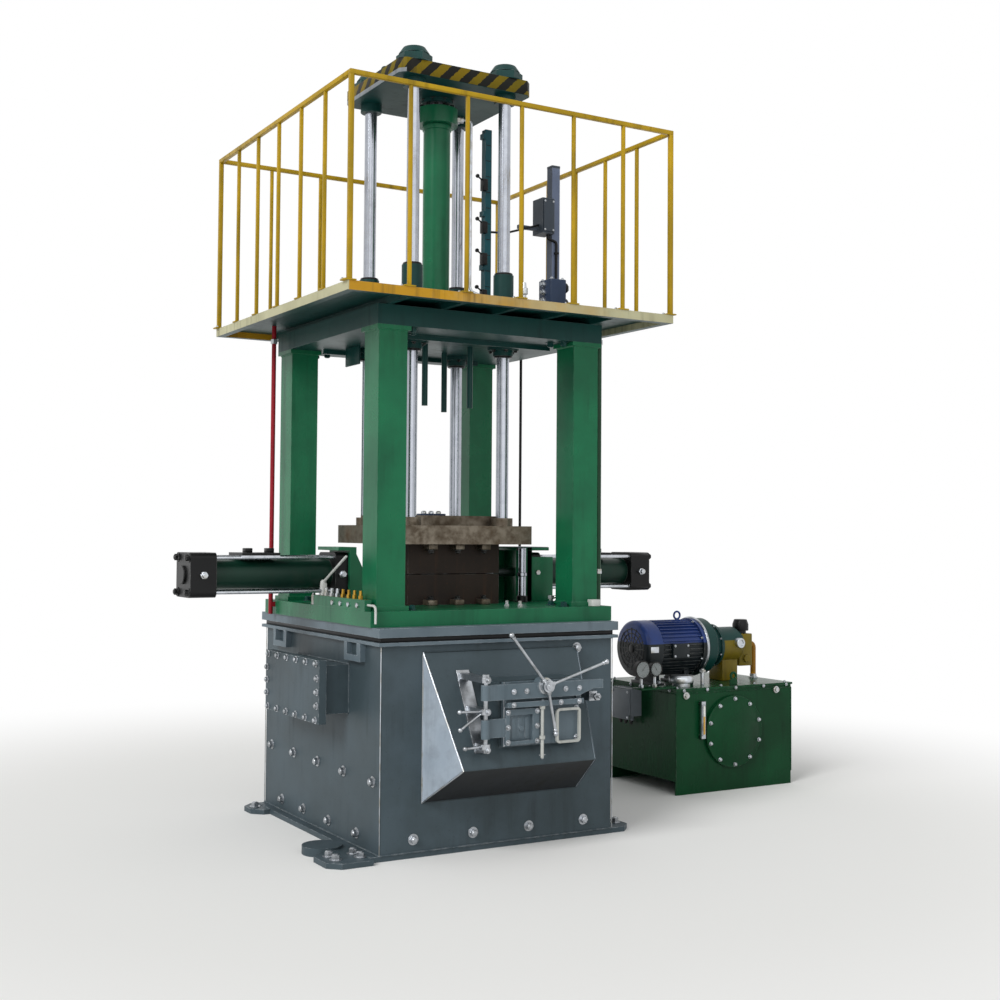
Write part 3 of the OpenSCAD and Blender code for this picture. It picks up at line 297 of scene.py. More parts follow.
# The same enamel made darker, dulled by oil smoke; its dark tone is also painted shade for the crosshead and
# the deck's underside
deep_green = enamel("#0c3c38", "#0a3230", 0.38, grime=0.4, dirt="#07120e", wear=0.3)
make("deep_green_enamel", deep_green)
# Gloss enamel on the welded oil tank
tank_green = enamel("#0c4225", "#0a351d", 0.24, grime=0.4, dirt="#08150e", wear=0.4)
make("tank_green_enamel", tank_green, 0.12)
# Rolled chequer plate, walked bright on its lugs
plate_steel = turned_steel("#6a6d6c", "#4a4a46", 0.45, 0.01)
make("deck_paint", deck_look)
# Traffic yellow enamel on drawn square tube, rubbed brown where hands slide
make("rail_yellow_enamel", enamel("#b5920f", "#957a12", 0.4, grime=0.6, wear=0.8, bare="#5b4c22",
    dirt="#3a3212", edge=0.006))
# Hard chrome, ground: a mirror with a thin oil film
make("hard_chrome", turned_steel("#a9adb5", "#9fa3ac", 0.16, 0.01, (1, 1, 0.02), 0.02), FRESH)
# Signal enamels brushed by hand over masking tape
make("warning_stripe_enamel", warning_stripes, 0.1)
# Machined steel kept oiled: grey-brown with rust bloom where it is not rubbed
make("oiled_plate_steel", bloom(turned_steel("#7a7266", "#5a5044", 0.42, 0.004), "#4a3a28", 0.75, 0.12))
# Tool steel darkened by heat and die coating, with brown oxide
make("scaled_die_steel", enamel("#2c221b", "#201a17", 0.6, grime=0.8, dirt="#4a3020", wear=0.5, speckle=0.6))
# Bar and plate machined bright, then handled
make("bright_steel", turned_steel("#b4b8bd", "#8d9092", 0.26), FRESH)
# Zinc plated screws and fittings, slightly yellowed
zinc = turned_steel("#c2c7cd", "#a39f92", 0.3, 0.004)
make("zinc_plated_steel", zinc, FRESH)
# Black enamel on iron castings, chipped at the edges
black = enamel("#090a0b", "#101112", 0.3, grime=0.3, dirt="#23231f", wear=0.5, edge=0.006)
make("black_enamel", black)
# Sprayed machine enamels
make("teal_enamel", enamel("#0f4f58", "#0d434b", 0.4))
grey = enamel("#475059", "#3d454e", 0.42, grime=0.4)
make("grey_enamel", grey)
make("post_enamel", zoned(grey, ((0.8405, None, None), (None, None, None),
    enamel("#74809a", "#667188", 0.42))))
make("white_enamel", enamel("#c9ccc9", "#b5b8b4", 0.35, grime=0.5))
make("blue_grey_casting", enamel("#2c3a52", "#253247", 0.42, grime=0.4))
make("orange_enamel", enamel("#a3700c", "#91640c", 0.35, grime=0.5))
olive = enamel("#7c6a10", "#685c14", 0.36, grime=0.6)
make("olive_enamel", olive)
# Sheet steel box sprayed light grey
make("terminal_grey", enamel("#70767c", "#62686e", 0.4, grime=0.4))
# Grey violet on the bracket's top face
make("grey_violet_top", enamel("#8d8fa3", "#7e8094", 0.5))
# Motor frame: blue spray enamel on a ribbed casting; below z 1.0 it is near black, painted shade on the lower
# half with a film of oil and dust
blue = enamel("#2b4484", "#23386e", 0.28, grime=0.5, dirt="#0c0e26", wear=0.4, edge=0.003)
make("motor_blue_enamel", zoned(blue, ((None, None, None), (None, None, 1.0),
    enamel("#111b20", "#0c1416", 0.4))), 0.3)
# Moulded switch housings
make("black_plastic", lambda tree, place: plain("#0e0f10", 0.4))
# White enamelled dial sheet
make("dial_enamel", lambda tree, place: plain("#e6e6df", 0.4), FRESH)
# The same sheet greyed behind its glass
make("aged_dial", lambda tree, place: plain("#8f9494", 0.5))
# Float glass over the dials and the sight tube
make("gauge_glass", lambda tree, place: plain("#eef2f2", 0.05), FRESH,
    **{"Transmission Weight": 1.0, "IOR": 1.5})
# Hydraulic oil behind the tube's wall
make("sight_oil", lambda tree, place: plain("#c99b3a", 0.1), FRESH)
# Core cylinders: black ends, green barrel and ground tie rods
tie = turned_steel("#c4c8ce", "#a4a8ae", 0.2, 0.02, (0.1, 1, 1))
make("core_cylinder_finishes", core_look)
# Red, black and green pipes from left to right
red = enamel("#8f1020", "#780d1a", 0.35)
make("pipe_enamels", zoned(red, ((-0.01, None, None), (0.83, None, None), black),
    ((0.831, None, None), (None, None, None), tank_green)))
# The pump's iron casting and its coupling housing in blue green enamel; the pump is olive below z 1.0
teal_casting = enamel("#12403c", "#0e3330", 0.34, grime=0.5, dirt="#0a1614")
make("pump_casting", zoned(teal_casting, ((2.372, None, None), (None, None, 1.0), olive)))
# Green manifold with turned brass and zinc plated parts on its top
brass = turned_steel("#b58f3c", "#8a6a2e", 0.3)
make("manifold_finishes", zoned(green, ((None, None, 1.3805), (None, None, None), brass),
    ((None, -0.33, 1.3805), (None, None, None), zinc)))

NODES_IN = {"aluminium_heat_paint": "furnace_body side_housing",
    "aluminium_heat_paint_pale": "furnace_flange charging_door lid_clamps",
    "hopper_paint": "charging_hopper",
    "bright_steel": "door_mounts star_handle core_slide_left core_slide_right sight_gauge",
    "green_enamel": "press_bed columns lift_cylinder core_bracket_left core_bracket_right",
    "deep_green_enamel": "crosshead guide_bushes rod_nuts knockout_bars", "deck_paint": "deck",
    "rail_yellow_enamel": "railing_front railing_back railing_left railing_right",
    "hard_chrome": "lift_rod guide_rods", "warning_stripe_enamel": "top_plate",
    "oiled_plate_steel": "moving_platen", "scaled_die_steel": "upper_die lower_die",
    "core_cylinder_finishes": "core_cylinder_left core_cylinder_right",
    "manifold_finishes": "fitting_manifold", "teal_enamel": "scale_bar", "blue_grey_casting": "valve_block",
    "post_enamel": "control_post", "pipe_enamels": "supply_pipes",
    "tank_green_enamel": "oil_tank tank_cover", "motor_blue_enamel": "pump_motor",
    "pump_casting": "bell_housing oil_pump", "zinc_plated_steel": "tank_fittings",
    "terminal_grey": "terminal_box"}
for paint, nodes in NODES_IN.items():
    for node in nodes.split():
        packed = frame["nodes"][node].data
        packed.materials.clear()
        packed.materials.append(MATERIALS[paint])


# Shapes


class Shape:
    """A mesh in the making, in the machine's own space"""

    def __init__(self):
        self.mesh = bmesh.new()

    def block(self, low, high, edge=0.003):
        low, high = Vector(low), Vector(high)
        size = high - low
        made = bmesh.ops.create_cube(self.mesh, size=1.0,
            matrix=Matrix.Translation((low + high) / 2) @ Matrix.Diagonal((*size, 1.0)))
        if edge:
            edges = list(dict.fromkeys(e for v in made["verts"] for e in v.link_edges))
            bmesh.ops.bevel(self.mesh, geom=edges, offset=min(edge, 0.4 * min(size)), segments=2,
                profile=0.5, affect="EDGES")
        return self

    def turned(self, start, axis, profile, sides=32, phase=0.0):
        """Turned about an axis from start: profile is a list of (distance along the axis, radius)"""
        turn = Vector((0, 0, 1)).rotation_difference(Vector(axis)).to_matrix().to_4x4()
        frame_of = Matrix.Translation(start) @ turn
        rings = []
        for along, radius in profile:
            if radius <= 1e-6:
                rings.append([self.mesh.verts.new(frame_of @ Vector((0, 0, along)))])
            else:
                angles = [phase + 2 * math.pi * i / sides for i in range(sides)]
                rings.append([self.mesh.verts.new(frame_of @ Vector((radius * math.cos(a),
                    radius * math.sin(a), along))) for a in angles])
        for lower, upper in zip(rings, rings[1:]):
            for i in range(sides):
                j = (i + 1) % sides
                corners = [lower[i % len(lower)], lower[j % len(lower)], upper[j % len(upper)],
                    upper[i % len(upper)]]
                corners = list(dict.fromkeys(corners))
                if len(corners) > 2:
                    self.mesh.faces.new(corners)
        for ring, flip in ((rings[0], True), (rings[-1], False)):
            if len(ring) > 2:
                self.mesh.faces.new(ring[::-1] if flip else ring)
        return self

    def rod(self, start, end, radius, edge=0.0015, sides=24):
        """A round bar with a small chamfer at both ends"""
        start, end = Vector(start), Vector(end)
        long = (end - start).length
        return self.turned(start, end - start,
            [(0, radius - edge), (edge, radius), (long - edge, radius), (long, radius - edge)], sides)

    def slab(self, outline, origin, across, up, thick, edge=0.002):
        """A flat plate: outline points along across and up from origin, thick in the third direction"""
        across, up, origin = Vector(across), Vector(up), Vector(origin)
        out = across.cross(up).normalized() * thick
        front = [self.mesh.verts.new(origin + across * x + up * y) for x, y in outline]
        back = [self.mesh.verts.new(v.co + out) for v in front]
        faces = [self.mesh.faces.new(front[::-1]), self.mesh.faces.new(back)]
        for i in range(len(front)):
            j = (i + 1) % len(front)
            faces.append(self.mesh.faces.new([front[i], front[j], back[j], back[i]]))
        if edge:
            edges = list(dict.fromkeys(e for f in faces for e in f.edges))
            bmesh.ops.bevel(self.mesh, geom=edges, offset=edge, segments=1, affect="EDGES")
        return self

    def pipe(self, points, radius, bend=0.0, sides=12):
        """A round pipe along points, its corners rounded with the radius bend, and closed at both ends"""
        path = rounded(points, bend) if bend else [Vector(p) for p in points]
        rings, side = [], None
        for i, here in enumerate(path):
            way = (path[min(i + 1, len(path) - 1)] - path[max(i - 1, 0)]).normalized()
            if side is None:
                side = way.orthogonal().normalized()
            side = (side - way * side.dot(way)).normalized()
            other = way.cross(side)
            turns = [2 * math.pi * k / sides for k in range(sides)]
            rings.append([self.mesh.verts.new(here + radius * (side * math.cos(a) + other * math.sin(a)))
                for a in turns])
        for lower, upper in zip(rings, rings[1:]):
            for k in range(sides):
                j = (k + 1) % sides
                self.mesh.faces.new([lower[k], lower[j], upper[j], upper[k]])
        self.mesh.faces.new(rings[0][::-1])
        self.mesh.faces.new(rings[-1])
        return self

    def ring(self, centre, axis, radius, thick, sides=40, round_sides=10):
        """A closed round ring"""
        turn = Vector((0, 0, 1)).rotation_difference(Vector(axis)).to_matrix()
        centre = Vector(centre)
        loops = []
        for i in range(sides):
            a = 2 * math.pi * i / sides
            out = Vector((math.cos(a), math.sin(a), 0))
            loop = []
            for k in range(round_sides):
                b = 2 * math.pi * k / round_sides
                point = out * (radius + thick * math.cos(b)) + Vector((0, 0, thick * math.sin(b)))
                loop.append(self.mesh.verts.new(centre + turn @ point))
            loops.append(loop)
        for i in range(sides):
            for k in range(round_sides):
                j, m = (i + 1) % sides, (k + 1) % round_sides
                self.mesh.faces.new([loops[i][k], loops[j][k], loops[j][m], loops[i][m]])
        return self

    def done(self, name, material, node, slot=None):
        """Makes the piece, which moves with the body of a node"""
        bmesh.ops.recalc_face_normals(self.mesh, faces=self.mesh.faces)
        data = bpy.data.meshes.new(name)
        self.mesh.to_mesh(data)
        self.mesh.free()
        return settle(name, data, material, node)

    def stand_for(self, name, material, node):
        """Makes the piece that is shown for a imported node"""
        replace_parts(self.done(name, material, node), node)


def settle(name, data, material, node, smooth=40):
    data.materials.clear()
    data.materials.append(MATERIALS[material])
    data.shade_smooth()
    data.set_sharp_from_angle(angle=math.radians(smooth))
    piece = bpy.data.objects.new(name, data)
    scene.collection.objects.link(piece)
    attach(piece, BODY_OF[node])
    return piece


def rounded(points, bend, steps=6):
    """The same path with each corner turned in an arc of the radius bend"""
    points = [Vector(p) for p in points]
    path = [points[0]]
    for before, corner, after in zip(points, points[1:], points[2:]):
        a, b = (before - corner).normalized(), (after - corner).normalized()
        half = a.angle(b) / 2
        cut = min(bend / math.tan(half), 0.49 * (before - corner).length, 0.49 * (after - corner).length)
        start, end = corner + a * cut, corner + b * cut
        for i in range(steps + 1):
            t = i / steps
            path.append(start * (1 - t) ** 2 + corner * 2 * t * (1 - t) + end * t ** 2)
    path.append(points[-1])
    return path


# Geometry Nodes: trees for what repeats, run once on a mesh of seats and kept as plain mesh


def new_tree(name, *inputs):
    tree = bpy.data.node_groups.new(name, "GeometryNodeTree")
    tree.interface.new_socket("Seats", in_out="INPUT", socket_type="NodeSocketGeometry")
    for label in inputs:
        tree.interface.new_socket(label, in_out="INPUT", socket_type="NodeSocketFloat")
    tree.interface.new_socket("Finish", in_out="INPUT", socket_type="NodeSocketMaterial")
    tree.interface.new_socket("Result", in_out="OUTPUT", socket_type="NodeSocketGeometry")
    return tree, add(tree, "NodeGroupInput", out=None).outputs


def finished(tree, geometry, given):
    """Realizes what a tree made, gives it its material and hands it out"""
    real = add(tree, "GeometryNodeRealizeInstances", (geometry,))
    dressed = add(tree, "GeometryNodeSetMaterial", {"Geometry": real, "Material": given["Finish"]})
    add(tree, "NodeGroupOutput", (dressed,), None)
    return tree


def on_seats(tree, given, copy):
    """Puts a copy on every seat, its Z along the seat's facing and its X along the seat's along"""
    facing_to, along = [add(tree, "GeometryNodeInputNamedAttribute", {"Name": label},
        data_type="FLOAT_VECTOR") for label in ("facing", "along")]
    upright = add(tree, "FunctionNodeAlignRotationToVector", {"Vector": facing_to}, axis="Z")
    turned = add(tree, "FunctionNodeAlignRotationToVector", {"Rotation": upright, "Vector": along}, axis="X",
        pivot_axis="Z")
    placed = add(tree, "GeometryNodeInstanceOnPoints",
        {"Points": given["Seats"], "Instance": copy, "Rotation": turned})
    return finished(tree, placed, given)


def lifted(tree, geometry, height):
    rise = add(tree, "ShaderNodeCombineXYZ", {"Z": height})
    return add(tree, "GeometryNodeTransform", {"Geometry": geometry, "Translation": rise})


def hexagon_bolts():
    """A washer, a six sided head and the turned crown on it"""
    tree, given = new_tree("hexagon_bolts", "Across", "Height", "Washer")
    half = calc(tree, "MULTIPLY", given["Across"], 0.5774)
    wide, narrow, thick, middle = [calc(tree, "MULTIPLY", *pair)
        for pair in ((half, 0.84), (half, 0.6), (given["Height"], 0.2), (given["Height"], 0.5))]
    washer = add(tree, "GeometryNodeMeshCylinder",
        {"Vertices": 16, "Radius": given["Washer"], "Depth": 0.003})
    head = add(tree, "GeometryNodeMeshCylinder", {"Vertices": 6, "Radius": half, "Depth": given["Height"]})
    crown = add(tree, "GeometryNodeMeshCone",
        {"Vertices": 12, "Radius Bottom": wide, "Radius Top": narrow, "Depth": thick})
    parts = add(tree, "GeometryNodeJoinGeometry", out=None)
    for part in (lifted(tree, washer, 0.0015), lifted(tree, head, middle),
            lifted(tree, crown, given["Height"])):
        tree.links.new(part, parts.inputs[0])
    return on_seats(tree, given, parts.outputs[0])


def flat_bars():
    """A small flat bar lying along its seat"""
    tree, given = new_tree("flat_bars", "Length", "Width", "Height")
    size = add(tree, "ShaderNodeCombineXYZ", [given[key] for key in ("Length", "Width", "Height")])
    bar = add(tree, "GeometryNodeMeshCube", {"Size": size})
    middle = calc(tree, "MULTIPLY", given["Height"], 0.5)
    return on_seats(tree, given, lifted(tree, bar, middle))


def chequer_lugs():
    """A raised lug of chequer plate, pointed at both ends and sloped all round"""
    tree, given = new_tree("chequer_lugs", "Length", "Width", "Height")
    lug = add(tree, "GeometryNodeMeshCone",
        {"Vertices": 4, "Radius Bottom": 0.5, "Radius Top": 0.3, "Depth": 1.0})
    size = add(tree, "ShaderNodeCombineXYZ", [given[key] for key in ("Length", "Width", "Height")])
    return on_seats(tree, given, add(tree, "GeometryNodeTransform", {"Geometry": lug, "Scale": size}))


def weld_beads():
    """A rippled bead along each edge of the seats mesh"""
    tree, given = new_tree("weld_beads", "Radius", "Pitch")
    path = add(tree, "GeometryNodeMeshToCurve", (given["Seats"],))
    half = calc(tree, "MULTIPLY", given["Pitch"], 0.5)
    fine = add(tree, "GeometryNodeResampleCurve", {"Curve": path, "Length": half}, mode="LENGTH")
    odd = calc(tree, "MODULO", add(tree, "GeometryNodeInputIndex"), 2.0)
    ripple = calc(tree, "MULTIPLY_ADD", odd, 0.3, 0.85)
    round_form = add(tree, "GeometryNodeCurvePrimitiveCircle", {"Resolution": 6, "Radius": given["Radius"]})
    bead = add(tree, "GeometryNodeCurveToMesh",
        {"Curve": fine, "Profile Curve": round_form, "Scale": ripple, "Fill Caps": True})
    return finished(tree, bead, given)


def grow(name, tree, seats, material, node, slot=None, smooth=35, **sizes):
    """Runs a tree on its seats and keeps the result as a plain mesh"""
    holder = bpy.data.objects.new(name + "_seats", seats)
    scene.collection.objects.link(holder)
    live = holder.modifiers.new("grow", "NODES")
    live.node_group = tree
    values = {**{key.replace("_", " ").capitalize(): value for key, value in sizes.items()},
        "Finish": MATERIALS[material]}
    for item in tree.interface.items_tree:
        if item.in_out == "INPUT" and item.name in values:
            live[item.identifier] = values[item.name]
    evaluated = holder.evaluated_get(bpy.context.evaluated_depsgraph_get())
    data = bpy.data.meshes.new_from_object(evaluated)
    data.name = name
    holder.modifiers.remove(live)
    bpy.data.objects.remove(holder)
    settle(name, data, material, node, smooth)


def seats_at(places):
    """A mesh of loose points: each place is (point, facing) or (point, facing, along)"""
    data = bpy.data.meshes.new("seats")
    data.from_pydata([p[0] for p in places], [], [])
    for label, at, spare in (("facing", 1, (0, 0, 1)), ("along", 2, (1, 0, 0))):
        layer = data.attributes.new(label, "FLOAT_VECTOR", "POINT")
        for i, p in enumerate(places):
            layer.data[i].vector = p[at] if len(p) > at else spare
    return data


def lines_through(*paths):
    data = bpy.data.meshes.new("lines")
    points, edges = [], []
    for path in paths:
        start = len(points)
        points += [tuple(p) for p in path]
        edges += [(start + i, start + i + 1) for i in range(len(path) - 1)]
    data.from_pydata(points, edges, [])
    return data


BOLTS, BARS, LUGS, BEADS = hexagon_bolts(), flat_bars(), chequer_lugs(), weld_beads()


def circle_of(centre, facing, radius, count, start=0.0):
    """Seats round a circle, facing along its axis"""
    turn = Vector((0, 0, 1)).rotation_difference(Vector(facing)).to_matrix()
    return [(Vector(centre) + turn @ Vector((radius * math.cos(a), radius * math.sin(a), 0)), facing,
        turn @ Vector((math.cos(a), math.sin(a), 0)))
        for a in (start + 2 * math.pi * i / count for i in range(count))]


def bolts(name, places, across, node, material="bright_steel", slot=None, height=None, washer=None):
    grow(name, BOLTS, seats_at(places), material, node, slot, across=across, height=height or 0.65 * across,
        washer=washer or 0.85 * across)


def welds(name, paths, material, node, radius, pitch=0.012):
    """Weld beads along paths"""
    grow(name, BEADS, lines_through(*paths), material, node, radius=radius, pitch=pitch)


def bars(name, places, material, node, length, width, height, slot=None):
    """Flat bars on their places"""
    grow(name, BARS, seats_at(places), material, node, slot, 20, length=length, width=width, height=height)


def mm(*values):
    """A turned profile from millimetres: distance along the axis and radius by turns"""
    return [(values[i] / 1000, values[i + 1] / 1000) for i in range(0, len(values), 2)]


# Camera: fitted to the photograph's own view


def camera():
    yaw, pitch, roll = math.radians(30.2513), math.radians(2.0638), math.radians(0.44)
    ahead = Vector((math.sin(yaw) * math.cos(pitch), math.cos(yaw) * math.cos(pitch), math.sin(pitch)))
    right = Vector((math.cos(yaw), -math.sin(yaw), 0))
    up = right.cross(ahead)
    side = right * math.cos(roll) + up * math.sin(roll)
    top = up * math.cos(roll) - right * math.sin(roll)
    view = bpy.data.cameras.new("view")
    view.sensor_width, view.lens, view.shift_x, view.shift_y = 36, 48.98, 0.01109, -0.01611
    view.clip_end = 200
    holder = bpy.data.objects.new("view", view)
    scene.collection.objects.link(holder)
    holder.matrix_world = Matrix.Translation((-3.9241, -7.4022, 1.7484)) @ Matrix((side, top,
        -ahead)).transposed().to_4x4()
    scene.camera = holder


def surroundings():
    """Pale floor that keeps the shadow, white beyond it, soft light from the left, a weak one in front"""
    world = bpy.data.worlds.new("studio")
    scene.world = world
    world.use_nodes = True
    tree = world.node_tree
    tree.nodes.clear()
    rays = add(tree, "ShaderNodeLightPath", out=None).outputs
    seen = calc(tree, "MAXIMUM", rays["Is Camera Ray"], rays["Is Glossy Ray"])
    seen = calc(tree, "MAXIMUM", seen, rays["Is Transmission Ray"])
    strength = add(tree, MIX, {0: seen, 2: 0.5, 3: 1.0})
    light = add(tree, "ShaderNodeBackground", {"Color": (1, 1, 1, 1), "Strength": strength})
    add(tree, "ShaderNodeOutputWorld", {"Surface": light}, None)
    floor_paint = bpy.data.materials.new("pale_floor")
    floor_paint.use_nodes = True
    tree = floor_paint.node_tree
    tree.nodes.clear()
    place = add(tree, "ShaderNodeTexCoord", out="Object")
    away = add(tree, "ShaderNodeVectorMath", (place,), "Value", operation="LENGTH")
    far = add(tree, RANGE, {"Value": away, "From Min": 2.6, "From Max": 6.5}, interpolation_type="SMOOTHSTEP")
    matt = add(tree, "ShaderNodeBsdfDiffuse", {"Color": linear("#f2f2f0")})
    white = add(tree, "ShaderNodeEmission", {"Color": (1, 1, 1, 1), "Strength": 1.0})
    mixed = add(tree, "ShaderNodeMixShader", (far, matt, white))
    add(tree, "ShaderNodeOutputMaterial", {"Surface": mixed}, None)
    data = bpy.data.meshes.new("floor")
    data.from_pydata([(-40, -40, 0), (40, -40, 0), (40, 40, 0), (-40, 40, 0)], [], [(0, 1, 2, 3)])
    data.materials.append(floor_paint)
    floor = bpy.data.objects.new("floor", data)
    scene.collection.objects.link(floor)
    for name, direction, power, spread in (("window_side", (1.0, 0.42, -0.75), 1.9, 25),
            ("front_fill", (0.15, 1.0, -0.35), 0.5, 60)):
        lamp = bpy.data.lights.new(name, "SUN")
        lamp.energy, lamp.angle = power, math.radians(spread)
        holder = bpy.data.objects.new(name, lamp)
        scene.collection.objects.link(holder)
        holder.rotation_euler = Vector(direction).to_track_quat("-Z", "Y").to_euler()
    scene.view_settings.view_transform = "Standard"


camera()
surroundings()


def furnace_pieces():
    """Bolts and weld beads on the casing, its side housing and the neck's gasket, with bright strips down the
    casing's corners as painted highlights
    """
    foot_row, middle_row = [[(x, z) for x in (-0.55, -0.18, 0.18, 0.55)] for z in (0.1, 0.6)]
    seats = [((x, -0.837, z), NEAR) for x, z in foot_row + [(0.5, 1.09)]]
    seats += [((x, 0.837, z), FAR) for x, z in foot_row + [(-0.5, 1.09)] + middle_row]
    rows = [(y, 0.41) for y in (-0.75, -0.37, 0.0, 0.36, 0.72)]
    rows += [(y, 0.1) for y in (-0.55, -0.17, 0.2, 0.54)]
    seats += [((-0.75, y, z), LEFT) for y, z in rows] + [((0.75, y, z), RIGHT) for y, z in rows]
    bolts("casing_bolts", seats, 0.036, "furnace_body")
    edge = [((-0.945, -0.42 + 0.143 * i, z), LEFT) for i in range(6) for z in (0.71, 1.02)]
    edge += [((-0.945, y, z), LEFT) for y in (-0.435, 0.315) for z in (0.79, 0.865, 0.94)]
    bolts("cover_plate_bolts", edge, 0.024, "side_housing")
    # welds: hopper to casing, casing to base frame, neck, side housing
    left, right = [[[(s * 0.5, -0.84, 1.1), (s * 0.5, -0.84, 0.29)],
        [(s * 0.5, -0.838, 1.1), (s * 0.418, -1.15, 0.5), (s * 0.5, -0.838, 0.29)]] for s in (-1, 1)]
    level = [[(-x, y, z), (x, y, z)] for x, y, z in ((0.5, -0.84, 1.1), (0.5, -0.84, 0.29),
        (0.418, -1.15, 0.5))]
    # weld beads on the hopper's left side, made bright zinc as painted highlights along the lit edges; the
    # other welds take the hopper's paint
    welds("hopper_highlight_welds", left, "zinc_plated_steel", "charging_hopper", 0.0045)
    welds("hopper_painted_welds", right + level, "hopper_paint", "charging_hopper", 0.0035)
    round_casing = ((-1, -1), (1, -1), (1, 1), (-1, 1), (-1, -1))
    loops = [[(a * 0.752, b * 0.839, z) for a, b in round_casing] for z in (0.032, 1.139)]
    side = [[(-0.752, y, 0.742), (-0.752, y, 1.008)] for y in (-0.432, 0.312)]
    side += [[(-0.752, -0.43, z), (-0.752, 0.31, z)] for z in (0.738, 1.012)]
    side += [[(-0.899, -0.432, 0.742), (-0.899, -0.432, 1.008)]]
    foot = [[(-0.806, -0.6, 0.03), (-0.806, -0.837, 0.03)], [(-0.806, 0.601, 0.03), (-0.806, 0.837, 0.03)]]
    welds("casing_welds", loops + side + foot, "aluminium_heat_paint", "furnace_body", 0.005)
    # thin strips down the casing's corners: a corner bead, made bright zinc as a painted highlight along the
    # edge
    corners = Shape()
    for sx, sy in CORNERS:
        corners.block((sx * 0.752 - 0.002, sy * 0.838 - 0.0025, 0.031),
            (sx * 0.752 + 0.002, sy * 0.838 + 0.0025, 1.139), 0.001)
    corners.done("corner_highlight_strips", "zinc_plated_steel", "furnace_body")
    # the gasket line under the flange
    seam = Shape()
    for s in (-1, 1):
        seam.block((-0.752, s * 0.839 - 0.003, 1.1585), (0.752, s * 0.839 + 0.003, 1.1845), 0.001)
        seam.block((s * 0.752 - 0.003, -0.838, 1.1585), (s * 0.752 + 0.003, 0.838, 1.1845), 0.001)
    seam.done("neck_gasket", "black_plastic", "furnace_flange", slot="furnace_grey")
    studs = [((x, y, 0.0305), UP) for x in (-0.84, -0.98) for y in (-0.79, -0.7)]
    studs += [((s * 0.86, y, 0.0305), UP) for s, y in ((-1, 0.72), (1, 0.72), (1, -0.72))]
    bolts("foot_bolts", studs, 0.04, "furnace_body")


def door_pieces():
    """Screws, washers, pin ends and arm collars on the charging door, and the packing round its mouth"""
    screws = [((x, -1.1505, z), NEAR) for x in (-0.148, 0.036) for z in (0.63, 0.71, 0.79)]
    screws += [((x, -1.1785, 0.832), NEAR) for x in (-0.13, 0.17, 0.29)]
    screws += [((x, -1.1785, 0.903), NEAR) for x in (-0.13, -0.05, 0.2, 0.29)]
    screws += [((0.3, -1.1305, z), NEAR) for z in (0.63, 0.79)]
    bolts("door_screws", screws, 0.018, "charging_door")
    Shape().turned((0.066, -1.186, 0.926), NEAR, mm(0, 44, 3, 44, 4, 30, 4.5, 22), 40).done("boss_washer",
        "zinc_plated_steel", "charging_door")
    stud = Shape().turned((0.06, -1.164, 0.538), DOWN, mm(0, 9, 4, 8.5, 7, 6), 16)
    stud.rod((0.04, -1.164, 0.553), (0.08, -1.164, 0.553), 0.003)
    stud.done("screw_end_and_pin", "bright_steel", "charging_door")
    sunk = Shape().block((-0.134, -1.1335, 0.637), (0.008, -1.13, 0.771), 0.002)
    for i in range(3):
        sunk.block((-0.118 + 0.042 * i, -1.138, 0.648), (-0.094 + 0.042 * i, -1.133, 0.76), 0.003)
    sunk.rod((-0.062, -1.134, 0.7), (-0.062, -1.1495, 0.7), 0.014)
    sunk.done("peep_plate", "aluminium_heat_paint_pale", "charging_door")
    welds("loop_handle_welds", ([(0.157, -1.1535, 0.642), (0.157, -1.1535, 0.662)],
        [(0.157, -1.1535, 0.742), (0.157, -1.1535, 0.762)],
        [(-0.163, -1.132, 0.608), (-0.163, -1.132, 0.95)],
        [(-0.161, -1.131, 0.6165), (0.05, -1.131, 0.6165)]), "zinc_plated_steel", "charging_door", 0.0035,
        0.01)
    grips = Shape()
    for angle, long in ((129.5, 0.363), (16.8, 0.4), (-78.6, 0.263)):
        a = math.radians(angle)
        way = Vector((math.cos(a), 0, math.sin(a)))
        hub = Vector((0.066, -1.208, 0.926))
        grips.turned(hub + way * 0.033, way, mm(0, 14, 12, 13, 16, 9.5), 20)
        grips.turned(hub + way * (long - 0.028), way, mm(0, 9.5, 4, 12, 13, 12), 20)
    grips.turned((0.066, -1.235, 0.926), NEAR, mm(0, 12, 2, 11), 20)
    grips.done("arm_collars", "bright_steel", "star_handle")
    mounts = Shape().turned((0.412, -1.194, 0.848), NEAR, mm(-1, 9, 6, 8.5, 9, 6), 20)
    for z in (0.59, 0.6):
        mounts.turned((-0.29, -1.155, z), DOWN, mm(-1, 16, 4, 15), 20)
    mounts.done("pin_ends", "bright_steel", "door_mounts")
    bolts("hinge_ear_bolts", [((-0.29, -1.181, z), NEAR) for z in (0.603, 0.803, 0.971)], 0.02, "door_mounts")
    Shape().pipe([(-0.142, -1.1022, 0.63), (-0.142, -1.1022, 0.92), (0.297, -1.1022, 0.92),
        (0.297, -1.1022, 0.63), (-0.142, -1.1022, 0.63)], 0.0024, 0.02, 8).done("mouth_packing",
        "dial_enamel", "charging_hopper", slot="flange_grey")


